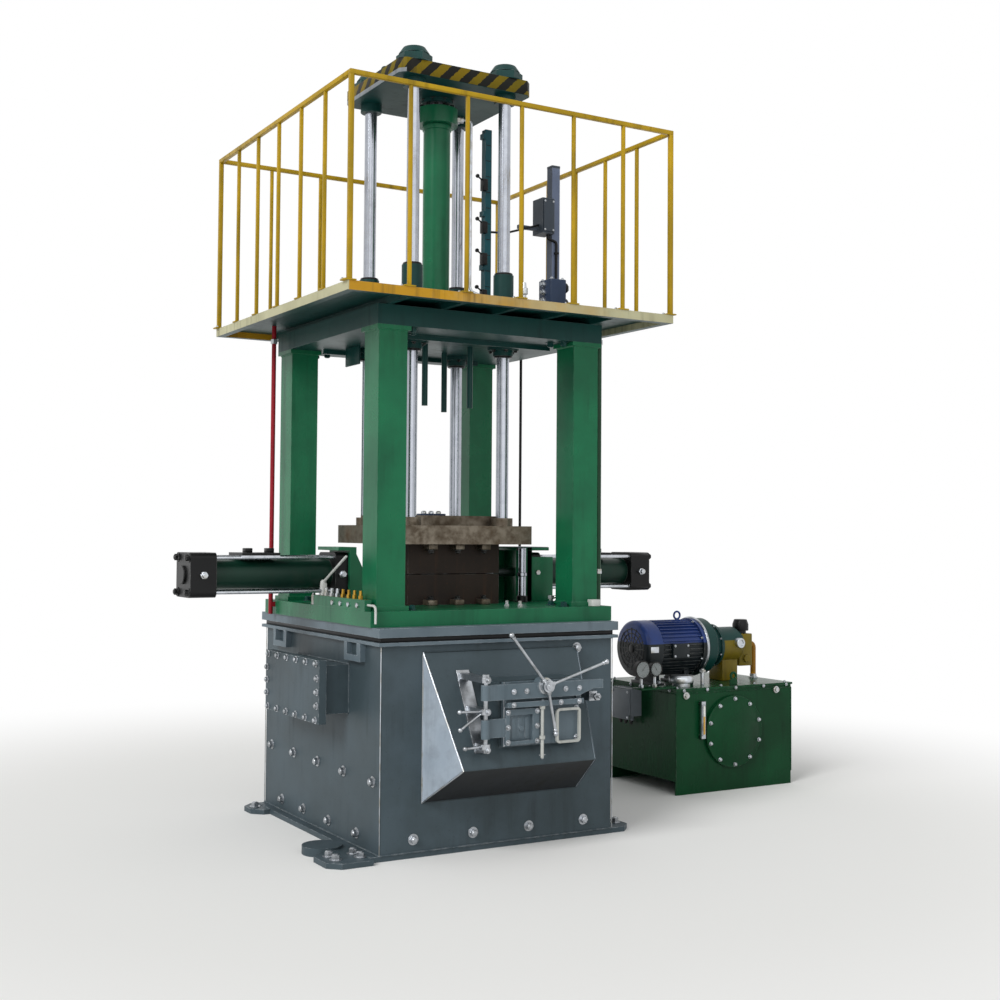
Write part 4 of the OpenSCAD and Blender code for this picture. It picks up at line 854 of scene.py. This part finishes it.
def press_pieces():
    """Welds, bolts and caps on the bed, columns, crosshead and deck"""
    beads = []
    for sx, sy in CORNERS:
        for z in (1.344, 2.861):
            x0, x1 = sorted((sx * 0.551, sx * 0.725))
            y0, y1 = sorted((sy * 0.533, sy * 0.715))
            beads.append([(x0, y0, z), (x1, y0, z), (x1, y1, z), (x0, y1, z), (x0, y0, z)])
    welds("column_welds", beads, "green_enamel", "columns", 0.006, 0.014)
    # long seams down the columns' corners, ground nearly flush
    seams = []
    for sx, sy in CORNERS:
        for x in (sx * 0.553, sx * 0.723):
            for y in (sy * 0.534, sy * 0.714):
                seams.append([(x, y, 1.35), (x, y, 2.855)])
    welds("column_corner_seams", seams, "green_enamel", "columns", 0.0022, 0.016)
    top = [((sx * x, sy * y, BED), UP) for sx, sy in CORNERS
        for x, y in ((0.5, 0.7), (0.5, 0.56), (0.62, 0.49))]
    top += [((sx * x, sy * y, 2.8848), DOWN) for sx, sy in CORNERS for x, y in ((0.5, 0.68), (0.46, 0.6))]
    bolts("bed_and_head_bolts", top, 0.036, "press_bed", material="deep_green_enamel")
    rings = []
    for at in RODS:
        rings += circle_of((*at, 3.0722), UP, 0.08, 6, 0.3) + circle_of((*at, 2.8588), DOWN, 0.08, 6, 0.3)
    bolts("bush_bolts", rings, 0.018, "guide_bushes", material="black_enamel", slot="dark_green",
        washer=0.0145)
    wipers = Shape()
    for at in RODS:
        wipers.turned((*at, 3.32), UP, mm(0, 56.5, 10, 56.5, 14, 52, 14, 39.2), 40)
        wipers.turned((*at, 2.825), DOWN, mm(0, 56.5, 8, 56.5, 12, 52, 12, 39.2), 40)
    wipers.done("rod_wiper_rings", "black_enamel", "guide_bushes", "dark_green")
    posts_x = [-1.039 + 0.34633 * i for i in range(7)]
    posts_y = [-1.009 + 0.33633 * i for i in range(1, 6)]
    pads = Shape()
    for x in posts_x:
        for y in (-1.009, 1.009):
            pads.block((x - 0.034, y - 0.019, 3.0462), (x + 0.034, y + (0.045 if y < 0 else 0.019), 3.054),
                0.002)
            if y > 0:
                pads.block((x - 0.034, y - 0.045, 3.0462), (x + 0.034, y - 0.018, 3.054), 0.002)
    for y in posts_y:
        for x in (-1.039, 1.039):
            inner = (x, x + 0.045) if x < 0 else (x - 0.045, x)
            pads.block((min(x - 0.019, inner[0]), y - 0.034, 3.0462),
                (max(x + 0.019, inner[1]), y + 0.034, 3.054), 0.002)
    pads.done("railing_feet", "rail_yellow_enamel", "railing_front")
    hold = [((x + d, s * (1.009 - 0.034), 3.0538), UP) for x in posts_x for d in (-0.024, 0.024)
        for s in (-1, 1)]
    hold += [((s * (1.039 - 0.034), y + d, 3.0538), UP) for y in posts_y for d in (-0.024, 0.024)
        for s in (-1, 1)]
    bolts("railing_bolts", hold, 0.013, "railing_front", height=0.008, washer=0.009)
    # chequer lugs, every other one turned
    lugs, pitch = [], 0.04
    for i in range(-25, 26):
        for j in range(-24, 25):
            x, y = i * pitch, j * pitch
            if abs(x) > 0.985 or abs(y) > 0.955:
                continue
            if any(math.hypot(x - at[0], y - at[1]) < 0.115 for at in RODS):
                continue
            if math.hypot(x, y) < 0.15 or (0.3 < x < 0.42 and abs(y) < 0.06):
                continue
            if 0.49 < x < 0.97 and -0.36 < y < 0.1:
                continue
            lugs.append(((x, y, 3.0458), UP, (1, 1, 0) if (i + j) % 2 else (1, -1, 0)))
    grow("chequer_plate_lugs", LUGS, seats_at(lugs), "zinc_plated_steel", "deck", slot="deck_yellow",
        smooth=20, length=0.03, width=0.009, height=0.003)


def lift_pieces():
    """The lift cylinder's bolts, ports and bent pipes to the valve block on the deck"""
    seats = circle_of((0, 0, 4.3702), UP, 0.108, 12) + circle_of((0, 0, 3.0762), UP, 0.112, 8, 0.2)
    bolts("lift_cylinder_bolts", seats, 0.024, "lift_cylinder", material="black_enamel", slot="dark_green",
        washer=0.016)
    seal = Shape().turned((0, 0, 4.37), UP, mm(0, 78, 14, 78, 20, 72, 20, 57.5), 48)
    seal.turned((0, 0, 4.235), UP, mm(0, 83.5, 4, 90, 31, 90, 35, 83.5), 48)
    seal.turned((0, 0, 3.11), UP, mm(0, 83.5, 4, 89, 26, 89, 30, 83.5), 48)
    seal.done("lift_cylinder_collars", "green_enamel", "lift_cylinder")
    way = Vector((math.cos(-0.35), math.sin(-0.35), 0))
    ports = Shape()
    for z, r in ((4.32, 0.12), (3.15, 0.08)):
        ports.turned(way * r + Vector((0, 0, z)), way, mm(0, 26, 22, 26, 24, 20, 45, 20, 47, 16), 6)
    ports.done("lift_ports", "zinc_plated_steel", "lift_cylinder")
    near = [way * r + Vector((0, 0, z)) for r, z in ((0.165, 4.32), (0.215, 4.32), (0.215, 3.25),
        (0.135, 3.15), (0.26, 3.15))]
    pipes = Shape().pipe([*near[:3], (0.38, -0.19, 3.16), (0.47, -0.24, 3.144), (0.64, -0.26, 3.144)], 0.009,
        0.05)
    pipes.pipe([*near[3:], (0.42, -0.26, 3.086), (0.64, -0.26, 3.086)], 0.009, 0.04)
    for z in (3.144, 3.086):
        pipes.turned((0.6, -0.26, z), RIGHT, mm(0, 14, 20, 14, 22, 16, 34, 16), 6)
    pipes.done("lift_oil_pipes", "zinc_plated_steel", "valve_block")
    # clips on the scale bar: limit switches with their roller arms
    switches = Shape()
    for z in (3.2, 3.43, 3.63, 3.9):
        switches.block((0.3, -0.06, z), (0.336, -0.02, z + 0.075), 0.004)
        switches.rod((0.318, -0.04, z + 0.06), (0.262, -0.052, z + 0.085), 0.005)
        switches.turned((0.262, -0.062, z + 0.085), FAR, mm(0, 11, 2, 12, 12, 12, 14, 11), 20)
        switches.block((0.334, -0.03, z + 0.02), (0.345, 0.01, z + 0.05), 0.002)
    switches.done("limit_switches", "black_enamel", "scale_bar")
    marks = [((0.3592, -0.0232, 3.1 + 0.1 * i), NEAR, RIGHT) for i in range(12)]
    bars("scale_marks", marks, "black_plastic", "scale_bar", 0.036, 0.004, 0.0012)


def top_pieces():
    """Washers, the rod's flange and lifting eyes on the top plate"""
    washers = Shape()
    for at in RODS:
        washers.turned((*at, 4.5145), UP, mm(0, 112, 4, 113, 7, 111), 48)
        washers.turned((*at, 4.6095), UP, mm(-1, 30, 0.5, 28), 32)
    washers.done("nut_washers", "deep_green_enamel", "top_plate")
    seats = circle_of((0, 0, 4.5162), UP, 0.075, 8)
    seats += circle_of((0, 0, 4.4258), DOWN, 0.085, 8)
    bolts("rod_flange_bolts", seats, 0.026, "top_plate", material="black_enamel", slot="dark_green")
    crown = Shape().turned((0, 0, 4.516), UP, mm(0, 58, 10, 58, 14, 50), 40)
    crown.turned((0, 0, 4.4262), DOWN, mm(0, 98, 20, 98, 24, 94), 48)
    crown.done("lift_rod_flange", "deep_green_enamel", "top_plate")
    eyes = Shape()
    for sx in (-1, 1):
        eyes.turned((sx * 0.36, 0, 4.5158), UP, mm(0, 22, 6, 22, 10, 14, 16, 14), 24)
        eyes.ring((sx * 0.36, 0, 4.557), FAR, 0.022, 0.0065)
    eyes.done("lifting_eyes", "deep_green_enamel", "top_plate")


def stand_ins():
    """Pieces that are shown at the photograph's size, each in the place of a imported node"""
    for node, along, across, bays in (("railing_front", 0, -1, 6), ("railing_back", 0, 1, 6),
            ("railing_left", 1, -1, 6), ("railing_right", 1, 1, 6)):
        half, off = ((1.052, 1.009), (1.022, 1.039))[along]
        rail = Shape()

        def bar(start, end, thick, low, high):
            """A bar of the railing from start to end along it"""
            a, b = (start, across * off - thick / 2), (end, across * off + thick / 2)
            if along:
                a, b = a[::-1], b[::-1]
            rail.block((*a, low), (*b, high), 0.003)
        short = 0.0262 if along else 0.0
        bar(-half + short, half - short, 0.026, 4.123, 4.149)
        for i in range(bays + 1):
            at = -half + 0.013 + i * (2 * half - 0.026) / bays
            thick = 0.02 if 0 < i < bays else 0.026
            if thick < 0.026 or not along:
                bar(at - thick / 2, at + thick / 2, thick, DECK, 4.124)
        rail.stand_for("guard_" + node, "rail_yellow_enamel", node)
    lift = Shape().turned((0, 0, 3.046), UP, mm(0, 128, 30, 128, 30, 84, 1224, 84, 1224, 128, 1324, 128), 96)
    lift.stand_for("lift_cylinder_barrel", "green_enamel", "lift_cylinder")
    plate = Shape().slab([(-0.448, -0.364), (-0.412, -0.4), (0.412, -0.4), (0.448, -0.364), (0.448, 0.364),
        (0.412, 0.4), (-0.412, 0.4), (-0.448, 0.364)], (0, 0, 4.426), RIGHT, FAR, 0.09, 0.003)
    nuts, collars = Shape(), Shape()
    for at in RODS:
        collars.turned((*at, 4.4258), DOWN, mm(0, 66, 45, 66, 48, 63), 40)
        nuts.turned((*at, 4.516), UP, mm(0, 108, 48, 108, 55, 98), 6, math.pi / 6)
        nuts.turned((*at, 4.57), UP, mm(0, 93.5, 4, 92.5, 40, 68), 48)
    plate.stand_for("striped_top_plate", "warning_stripe_enamel", "top_plate")
    collars.done("rod_collars_under_plate", "deep_green_enamel", "top_plate")
    nuts.stand_for("chamfered_rod_nuts", "deep_green_enamel", "rod_nuts")
    bracket = Shape().block((0.585, -0.15, BED), (0.625, 0.15, 1.66))
    bracket.block((0.51, -0.15, 1.64), (0.75, 0.15, 1.66))
    for y in (-0.15, 0.13):
        bracket.block((0.51, y, BED), (0.625, y + 0.02, 1.645))
        bracket.block((0.615, y, BED), (0.78, y + 0.02, 1.6))
    bracket.stand_for("boxed_core_bracket", "green_enamel", "core_bracket_right")
    tube = Shape().rod((0.534, -0.178, 1.36), (0.534, -0.178, 1.655), 0.024, sides=40)
    tube.turned((0.534, -0.178, 1.48), UP, mm(0, 24, 3, 30, 22, 30, 25, 24), 40)
    tube.done("bracket_tube", "hard_chrome", "core_bracket_right")
    base = Shape().turned((0.534, -0.178, BED), UP, mm(0, 34, 36, 34, 40, 30), 32)
    base.block((0.51, -0.165, 1.64), (0.558, -0.148, 1.658))
    base.done("bracket_tube_holders", "black_enamel", "core_bracket_right")
    core = Shape()
    quarter = [math.radians(q) for q in (0, 30, 60, 90)]
    outline = [(a * (0.095 + 0.03 * math.cos(q)), b * (0.095 + 0.03 * math.sin(q)))
        for a, b, way in ((1, 1, 1), (-1, 1, -1), (-1, -1, 1), (1, -1, -1)) for q in quarter[::way]]
    for low, high in ((0.625, 0.705), (1.41, 1.56)):
        core.slab(outline, (low, 0, CORE), FAR, UP, high - low, 0.003)
    core.rod((0.7, 0, CORE), (1.415, 0, CORE), 0.084, sides=64)
    for sy, sz in CORNERS:
        core.rod((0.7, sy * 0.097, CORE + sz * 0.097), (1.415, sy * 0.097, CORE + sz * 0.097), 0.011)
    core.block((1.03, -0.108, 1.5995), (1.26, 0.108, 1.6265))
    core.stand_for("core_cylinder_body", "core_cylinder_finishes", "core_cylinder_right")
    Shape().block((-0.46, 0.12, 2.77), (-0.448, 0.32, 2.8848)).done("plate_under_crosshead",
        "deep_green_enamel", "crosshead")


def unit_pieces():
    """The power unit: motor, coupling housing, pump, cover, gauges and what is screwed to the tank"""
    motor = Shape().turned((1.67, *MOTOR), RIGHT,
        mm(0, 168, 4, 178, 18, 190, 26, 192, 130, 192, 130, 176, 476, 176, 476, 198, 500, 198), 96)
    for x in (1.805, 2.06):
        motor.block((x - 0.03, 0.07, TANK), (x + 0.03, 0.37, 0.73))
        motor.block((x - 0.02, 0.11, 0.725), (x + 0.02, 0.33, 0.86))
    motor.block((1.87, 0.012, 0.9), (2.01, 0.08, 1.0), 0.006)
    motor.rod((2.06, 0.22, 1.12), (2.06, 0.22, 1.155), 0.01)
    motor.ring((2.06, 0.22, 1.18), FAR, 0.026, 0.007)
    motor.stand_for("electric_motor", "motor_blue_enamel", "pump_motor")
    ribs = [(p, out, RIGHT) for p, _, out in circle_of((1.973, *MOTOR), RIGHT, 0.1745, 40)]
    bars("motor_fins", ribs, "motor_blue_enamel", "pump_motor", 0.33, 0.005, 0.0165)
    grille = Shape()
    for r in (0.045, 0.075, 0.105, 0.135):
        grille.ring((1.6695, *MOTOR), RIGHT, r, 0.0035, 48, 6)
    grille.turned((1.671, *MOTOR), LEFT, mm(0, 30, 5, 30, 7, 26), 32)
    grille.done("fan_cowl_rings", "black_enamel", "pump_motor")
    spokes = [(p, LEFT, out) for p, _, out in circle_of((1.6702, *MOTOR), RIGHT, 0.09, 16)]
    bars("fan_cowl_spokes", spokes, "black_enamel", "pump_motor", 0.11, 0.006, 0.003)
    bolts("motor_foot_bolts", [((x, y, 0.7302), UP) for x in (1.805, 2.06) for y in (0.092, 0.348)], 0.024,
        "pump_motor")
    bolts("motor_box_screws", [((x, 0.0118, z), NEAR) for x in (1.885, 1.995) for z in (0.915, 0.985)], 0.01,
        "pump_motor", height=0.005)
    bolts("motor_shield_bolts", circle_of((2.1458, *MOTOR), LEFT, 0.187, 8, 0.39), 0.014, "pump_motor")
    Shape().block((1.69, 0.0262, 0.943), (1.756, 0.029, 0.983), 0.0008).done("motor_plate",
        "zinc_plated_steel", "pump_motor")
    bell = Shape().turned((2.19, *MOTOR), RIGHT, mm(0, 196, 80, 196, 145, 137, 160, 137, 160, 151, 180, 151),
        96)
    bell.stand_for("coupling_housing", "pump_casting", "bell_housing")
    # a bright steel rim on the housing: a turned ring, and a painted highlight along the rim's edge
    Shape().turned((2.17, *MOTOR), RIGHT, mm(0.2, 204, 4, 208, 17, 208, 21, 204), 96).done("coupling_rim",
        "bright_steel", "bell_housing")
    bolts("coupling_bolts", circle_of((2.3495, *MOTOR), LEFT, 0.1445, 8, 0.39), 0.011, "bell_housing")
    pump = Shape().turned((2.37, *MOTOR), RIGHT, mm(0.2, 122, 6, 127, 180, 127, 204, 103, 220, 103), 64)
    pump.block((2.41, 0.145, TANK), (2.55, 0.295, 0.8965), 0.006)
    pump.stand_for("gear_pump", "pump_casting", "oil_pump")
    port = Shape().turned((2.515, 0.22, 0.98), NEAR, mm(100, 36, 154, 36, 157, 33, 157, 22, 150, 20), 40)
    port.turned((2.76, 0.22, TANK), UP, mm(0, 34, 10, 34, 12, 26, 30, 26), 6)
    port.turned((2.7, 0.22, 0.96), RIGHT, mm(-1, 30, 18, 30, 20, 26), 6)
    port.done("pump_port_and_unions", "zinc_plated_steel", "oil_pump")
    valve = Shape().block((2.58, 0.16, 0.807), (2.7, 0.28, 1.037), 0.006)
    valve.turned((2.64, 0.1605, 0.86), NEAR, mm(0, 30, 14, 30, 18, 26), 6)
    valve.done("pressure_valve", "olive_enamel", "oil_pump")
    Shape().turned((2.64, 0.22, 1.0372), UP, mm(0, 40, 20, 40, 20, 56, 23, 58, 65, 58, 98, 46, 100, 42),
        40).done("valve_knob", "black_plastic", "oil_pump")
    Shape().pipe([(2.69, 0.22, 0.96), (2.76, 0.22, 0.96), (2.76, 0.22, 0.711)], 0.02, 0.05,
        20).done("delivery_pipe", "orange_enamel", "oil_pump")
    cover = Shape().turned((2.277, -0.1202, 0.4), NEAR, mm(0, 245, 22, 245, 26, 241, 26, 205, 29.5, 198), 96)
    cover.stand_for("manhole_cover", "tank_green_enamel", "tank_cover")
    bolts("cover_bolts", circle_of((2.277, -0.1462, 0.4), NEAR, 0.224, 10, math.pi / 2), 0.02, "tank_cover",
        washer=0.014)
    fittings = Shape().turned((1.935, 0.01, TANK), UP,
        mm(0, 60, 26, 60, 26, 82, 29, 84, 58, 84, 74, 74, 76, 70), 48)
    fittings.rod((2.135, 0.03, TANK), (2.135, 0.03, 0.82), 0.014)
    fittings.turned((2.135, 0.03, 0.795), UP, mm(0, 24, 16, 24, 18, 20), 6)
    for x in (1.563, 1.674):
        fittings.rod((x, -0.035, 0.7225), (x, -0.035, 0.8), 0.009)
        fittings.turned((x, -0.035, 0.7225), UP, mm(0, 16, 18, 16, 20, 13), 6)
    fittings.stand_for("tank_top_fittings", "zinc_plated_steel", "tank_fittings")
    shelf = Shape().block((1.53, -0.09, TANK), (1.84, 0.02, 0.722))
    shelf.block((2.265, -0.116, TANK), (2.325, -0.102, 0.752))
    shelf.ring((2.295, -0.109, 0.775), FAR, 0.023, 0.0085, 40, 12)
    shelf.done("gauge_shelf_and_hook", "tank_green_enamel", "tank_fittings")
    for side, x, r, turn in (("large", 1.563, 0.06, 0.9), ("small", 1.674, 0.05, 2.2)):
        Shape().turned((x, -0.018, GAUGE), NEAR,
            [(0, r - 0.004), (0.004, r), (0.036, r), (0.039, r - 0.003), (0.039, r - 0.007),
            (0.033, r - 0.007)], 64).done(side + "_gauge_case", "black_enamel", "tank_fittings")
        Shape().turned((x, -0.0505, GAUGE), NEAR, [(0, r - 0.008), (0.001, r - 0.008)],
            48).done(side + "_gauge_dial", "aged_dial", "tank_fittings")
        marks = [(p, NEAR, out) for p, _, out in circle_of((x, -0.0515, GAUGE), NEAR, r * 0.7, 16)]
        bars(side + "_gauge_marks", marks, "black_plastic", "tank_fittings", 0.008, 0.0018, 0.0006,
            slot="gauge")
        way = Vector((math.cos(turn), 0, math.sin(turn)))
        middle = Vector((x, -0.0535, GAUGE))
        needle = Shape().rod(middle - way * r * 0.25, middle + way * r * 0.62, 0.0012, 0.0004, 8)
        needle.turned(middle + Vector((0, 0.001, 0)), NEAR, mm(0, 5, 2, 4), 16)
        needle.done(side + "_gauge_needle", "black_plastic", "tank_fittings", slot="gauge")
        Shape().turned((x, -0.055, GAUGE), NEAR, [(0, r - 0.0075), (0.0015, r - 0.0075)],
            48).done(side + "_gauge_glass", "gauge_glass", "tank_fittings")
    seats = [((x, -0.1282, 0.697), NEAR) for x in (1.85, 2.05, 2.3, 2.55, 2.76)]
    seats += [((1.7818, y, 0.697), LEFT) for y in (-0.06, 0.16, 0.38, 0.6)]
    seats += [((x, y, TANK), UP) for x in (1.82, 2.2, 2.5, 2.78) for y in (-0.09, 0.63)]
    bolts("tank_lid_bolts", seats, 0.014, "oil_tank")
    plugs = Shape()
    for x, z in ((1.868, 0.663), (2.666, 0.665)):
        plugs.turned((x, -0.1202, z), NEAR, mm(0, 24, 12, 24, 14, 16, 26, 16), 24)
    plugs.done("tank_plugs", "zinc_plated_steel", "oil_tank")
    welds("tank_welds", ([(1.789, -0.121, 0.09), (1.789, -0.121, 0.675)],
        [(2.811, -0.121, 0.09), (2.811, -0.121, 0.675)], [(1.789, -0.121, 0.676), (2.811, -0.121, 0.676)],
        [(1.789, -0.12, 0.676), (1.789, 0.66, 0.676)], [(1.789, 0.66, 0.09), (1.789, 0.66, 0.675)]),
        "tank_green_enamel", "oil_tank", 0.004)
    ends = Shape()
    for z in (0.378, 0.604):
        ends.turned((1.995, -0.12, z), NEAR, mm(1, 17, 18, 17, 20, 13), 6)
    ends.done("sight_gauge_nuts", "black_enamel", "sight_gauge")
    Shape().block((1.9875, -0.1655, 0.4), (2.0025, -0.1642, 0.52), 0.0004).done("sight_gauge_oil",
        "sight_oil", "sight_gauge")
    Shape().block((1.9875, -0.1655, 0.5202), (2.0025, -0.1642, 0.59), 0.0004).done("sight_gauge_scale",
        "dial_enamel", "sight_gauge")
    Shape().block((1.6865, 0.274, 0.462), (1.6898, 0.482, 0.668), 0.001).done("terminal_box_lid",
        "terminal_grey", "terminal_box")
    bolts("terminal_box_screws", [((1.6864, y, z), LEFT) for y in (0.29, 0.466) for z in (0.478, 0.652)],
        0.01, "terminal_box", height=0.005)
    glands = Shape()
    for y in (0.32, 0.38, 0.44):
        glands.turned((1.74, y, 0.4518), DOWN, mm(0, 13, 14, 13, 16, 10, 26, 10), 6)
    glands.done("terminal_box_glands", "black_plastic", "terminal_box")


def bed_pieces():
    """What stands round the die: clamps, core cylinder fittings, the manifold's taps and small blocks"""
    nuts = []
    for reach, s in ((1.5702, -1), (1.5602, 1)):
        nuts += [((s * reach, y, CORE + z), (s, 0, 0)) for y in (-0.097, 0.097) for z in (-0.097, 0.097)]
    bolts("core_tie_nuts", nuts, 0.032, "core_cylinder_left", material="black_enamel")
    ends, ports = Shape(), Shape()
    for reach, s in ((1.57, -1), (1.56, 1)):
        way = (s, 0, 0)
        ends.turned((s * reach, 0, CORE), way, mm(-1, 52, 10, 52, 14, 48), 40)
        for x in (0.665, reach - 0.075):
            ports.turned((s * x, -0.125, CORE), NEAR, mm(-1, 22, 16, 22, 18, 16, 36, 16), 6)
        for x in (1.075, 1.205):
            ends.block((s * x - 0.022, -0.045, 1.6263), (s * x + 0.022, 0.005, 1.652), 0.003)
    ends.done("core_end_bosses_and_sensors", "black_enamel", "core_cylinder_left")
    ports.done("core_oil_ports", "zinc_plated_steel", "core_cylinder_left")
    beads = [[(x, -0.15, 1.3215), (x, 0.15, 1.3215)] for x in (-0.584, 0.584)]
    welds("bracket_welds", beads, "green_enamel", "core_bracket_left", 0.005)
    Shape().block((0.512, -0.148, 1.6602), (0.748, 0.148, 1.6625), 0.001).done("bracket_top_strip",
        "grey_violet_top", "core_bracket_right")
    low, high, fixed, lifting = Shape(), Shape(), [], []
    for x in (-0.21, -0.03, 0.15):
        for s in (-1, 1):
            near, far = sorted((s * 0.262, s * 0.345))
            low.block((x, near, BED), (x + 0.06, far, 1.352), 0.004)
            high.block((x, near, 1.648), (x + 0.06, far, 1.6798), 0.004)
            fixed.append(((x + 0.03, s * 0.312, 1.3522), UP))
            lifting.append(((x + 0.03, s * 0.312, 1.6478), DOWN))
    low.done("lower_die_clamps", "oiled_plate_steel", "lower_die")
    high.done("upper_die_clamps", "oiled_plate_steel", "upper_die")
    bolts("lower_clamp_bolts", fixed, 0.03, "lower_die", material="black_enamel")
    bolts("upper_clamp_bolts", lifting, 0.03, "upper_die", material="black_enamel")
    Shape().block((-0.15, -0.16, 1.7902), (0.0, -0.06, 1.862), 0.004).done("platen_valve_block",
        "blue_grey_casting", "moving_platen")
    knobs = Shape()
    for x in (-0.125, -0.075, -0.025):
        knobs.turned((x, -0.11, 1.8618), UP, mm(0, 16, 12, 16, 14, 12, 17, 10), 16)
        knobs.turned((x, -0.1598, 1.825), NEAR, mm(0, 13, 14, 13, 16, 9), 6)
    knobs.done("platen_valve_knobs", "zinc_plated_steel", "moving_platen")
    Shape().block((0.3, -0.07, 1.7902), (0.42, 0.06, 1.85), 0.004).done("platen_cable_box", "grey_enamel",
        "moving_platen")
    taps = Shape().turned((-0.767, 0.046, 1.3202), UP, mm(0, 15, 58, 15, 60, 10, 88, 10), 6)
    for y in (-0.275, -0.385, -0.492, -0.609):
        taps.turned((-0.787, y, 1.348), LEFT, mm(-1, 14, 8, 14, 10, 10), 20)
    for x, y in ((0.182, -0.579), (0.235, -0.64)):
        taps.turned((x, y, 1.3202), UP, mm(0, 16, 14, 16, 16, 10, 34, 10), 6)
    taps.turned((0.601, -0.407, 1.3202), UP, mm(0, 14, 30, 14, 30, 22, 50, 22), 6)
    taps.rod((0.601, -0.407, 1.35), (0.64, -0.44, 1.375), 0.009)
    taps.done("bed_taps_and_plugs", "zinc_plated_steel", "fitting_manifold")
    lever = Shape().block((-0.783, -0.112, 1.3798), (-0.751, -0.078, 1.452), 0.003)
    lever.rod((-0.767, -0.093, 1.456), (-0.767, -0.41, 1.611), 0.0075)
    lever.turned((-0.767, -0.093, 1.44), UP, mm(0, 10, 8, 18, 20, 18, 30, 8), 24)
    lever.block((0.654, -0.77, BED), (0.714, -0.72, 1.36), 0.003)
    lever.done("tap_lever_and_switch", "white_enamel", "fitting_manifold")
    Shape().pipe([(-0.767, -0.695, 1.352), (-0.767, -0.797, 1.352), (-0.767, -0.797, 1.256)], 0.007,
        0.03).done("manifold_drain_pipe", "white_enamel", "fitting_manifold")
    unions = Shape()
    for x, y, r in ((-0.813, 0.62, 0.014), (0.808, 0.3, 0.009), (0.907, -0.46, 0.02)):
        for z in (1.5, 2.92):
            unions.turned((x, y, z), UP,
                [(0, r + 0.001), (0.003, r + 0.008), (0.03, r + 0.008), (0.033, r + 0.001)], 6)
    unions.done("pipe_unions", "zinc_plated_steel", "supply_pipes")


def deck_pieces():
    """Coils, screws and lids on the deck's valve block and control post, and the post's conduits"""
    body = Shape().block((0.635, -0.33, DECK), (0.75, -0.19, 3.335), 0.005)
    body.block((0.6, -0.345, DECK), (0.8, -0.175, 3.058))
    body.block((0.638, -0.332, 3.15), (0.747, -0.188, 3.156), 0.001)
    body.stand_for("stacked_valve_block", "blue_grey_casting", "valve_block")
    coils, ports = Shape(), Shape()
    for z in (3.195, 3.295):
        coils.turned((0.75, -0.26, z), RIGHT, mm(0, 33, 40, 33, 44, 28), 32)
        ports.turned((0.794, -0.26, z), RIGHT, mm(-1, 24, 10, 24, 16, 12), 6)
    for z in (3.205, 3.255, 3.305):
        ports.turned((0.6355, -0.26, z), LEFT, mm(0, 18, 14, 18, 16, 12, 32, 12), 6)
    ports.turned((0.44, -0.33, DECK), UP,
        mm(0, 26, 20, 26, 22, 14, 165, 14, 168, 23, 205, 23, 208, 15, 240, 12), 16)
    coils.done("valve_coils", "black_enamel", "valve_block")
    ports.done("valve_ports_and_tap", "zinc_plated_steel", "valve_block")
    bolts("valve_block_bolts", [((x, y, 3.3352), UP) for x in (0.653, 0.732) for y in (-0.312, -0.208)],
        0.016, "valve_block")
    Shape().block((0.756, -0.0585, 3.7), (0.834, -0.0552, 3.902), 0.001).done("junction_box_lid",
        "grey_enamel", "control_post")
    bolts("junction_box_screws", [((x, -0.0586, z), NEAR) for x in (0.764, 0.826) for z in (3.708, 3.894)],
        0.008, "control_post", height=0.004)
    conduit = Shape().pipe([(0.87, -0.028, 3.06), (0.87, -0.028, 3.64), (0.812, -0.012, 3.66),
        (0.812, -0.012, 3.69)], 0.009, 0.02)
    for z in (3.16, 3.36, 3.56):
        conduit.block((0.856, -0.04, z), (0.884, -0.018, z + 0.014), 0.002)
    conduit.done("post_conduit", "black_plastic", "control_post")
    conduit = Shape().pipe([(0.64, 0.0, 3.718), (0.627, 0.0, 3.69), (0.627, 0.0, 3.052)], 0.008, 0.02)
    conduit.turned((0.627, 0.0, 3.0462), UP, mm(0, 18, 12, 18, 14, 13, 30, 13), 6)
    conduit.pipe([(0.38, 0.0, 3.655), (0.5, 0.0, 3.662), (0.62, 0.0, 3.7), (0.755, 0.0, 3.745)], 0.007, 0.05)
    conduit.done("arm_conduits", "black_plastic", "control_post")
    Shape().block((0.838, -0.022, 4.129), (0.902, 0.042, 4.145), 0.003).done("post_cap", "grey_enamel",
        "control_post")


furnace_pieces()
door_pieces()
press_pieces()
lift_pieces()
top_pieces()
stand_ins()
unit_pieces()
bed_pieces()
deck_pieces()
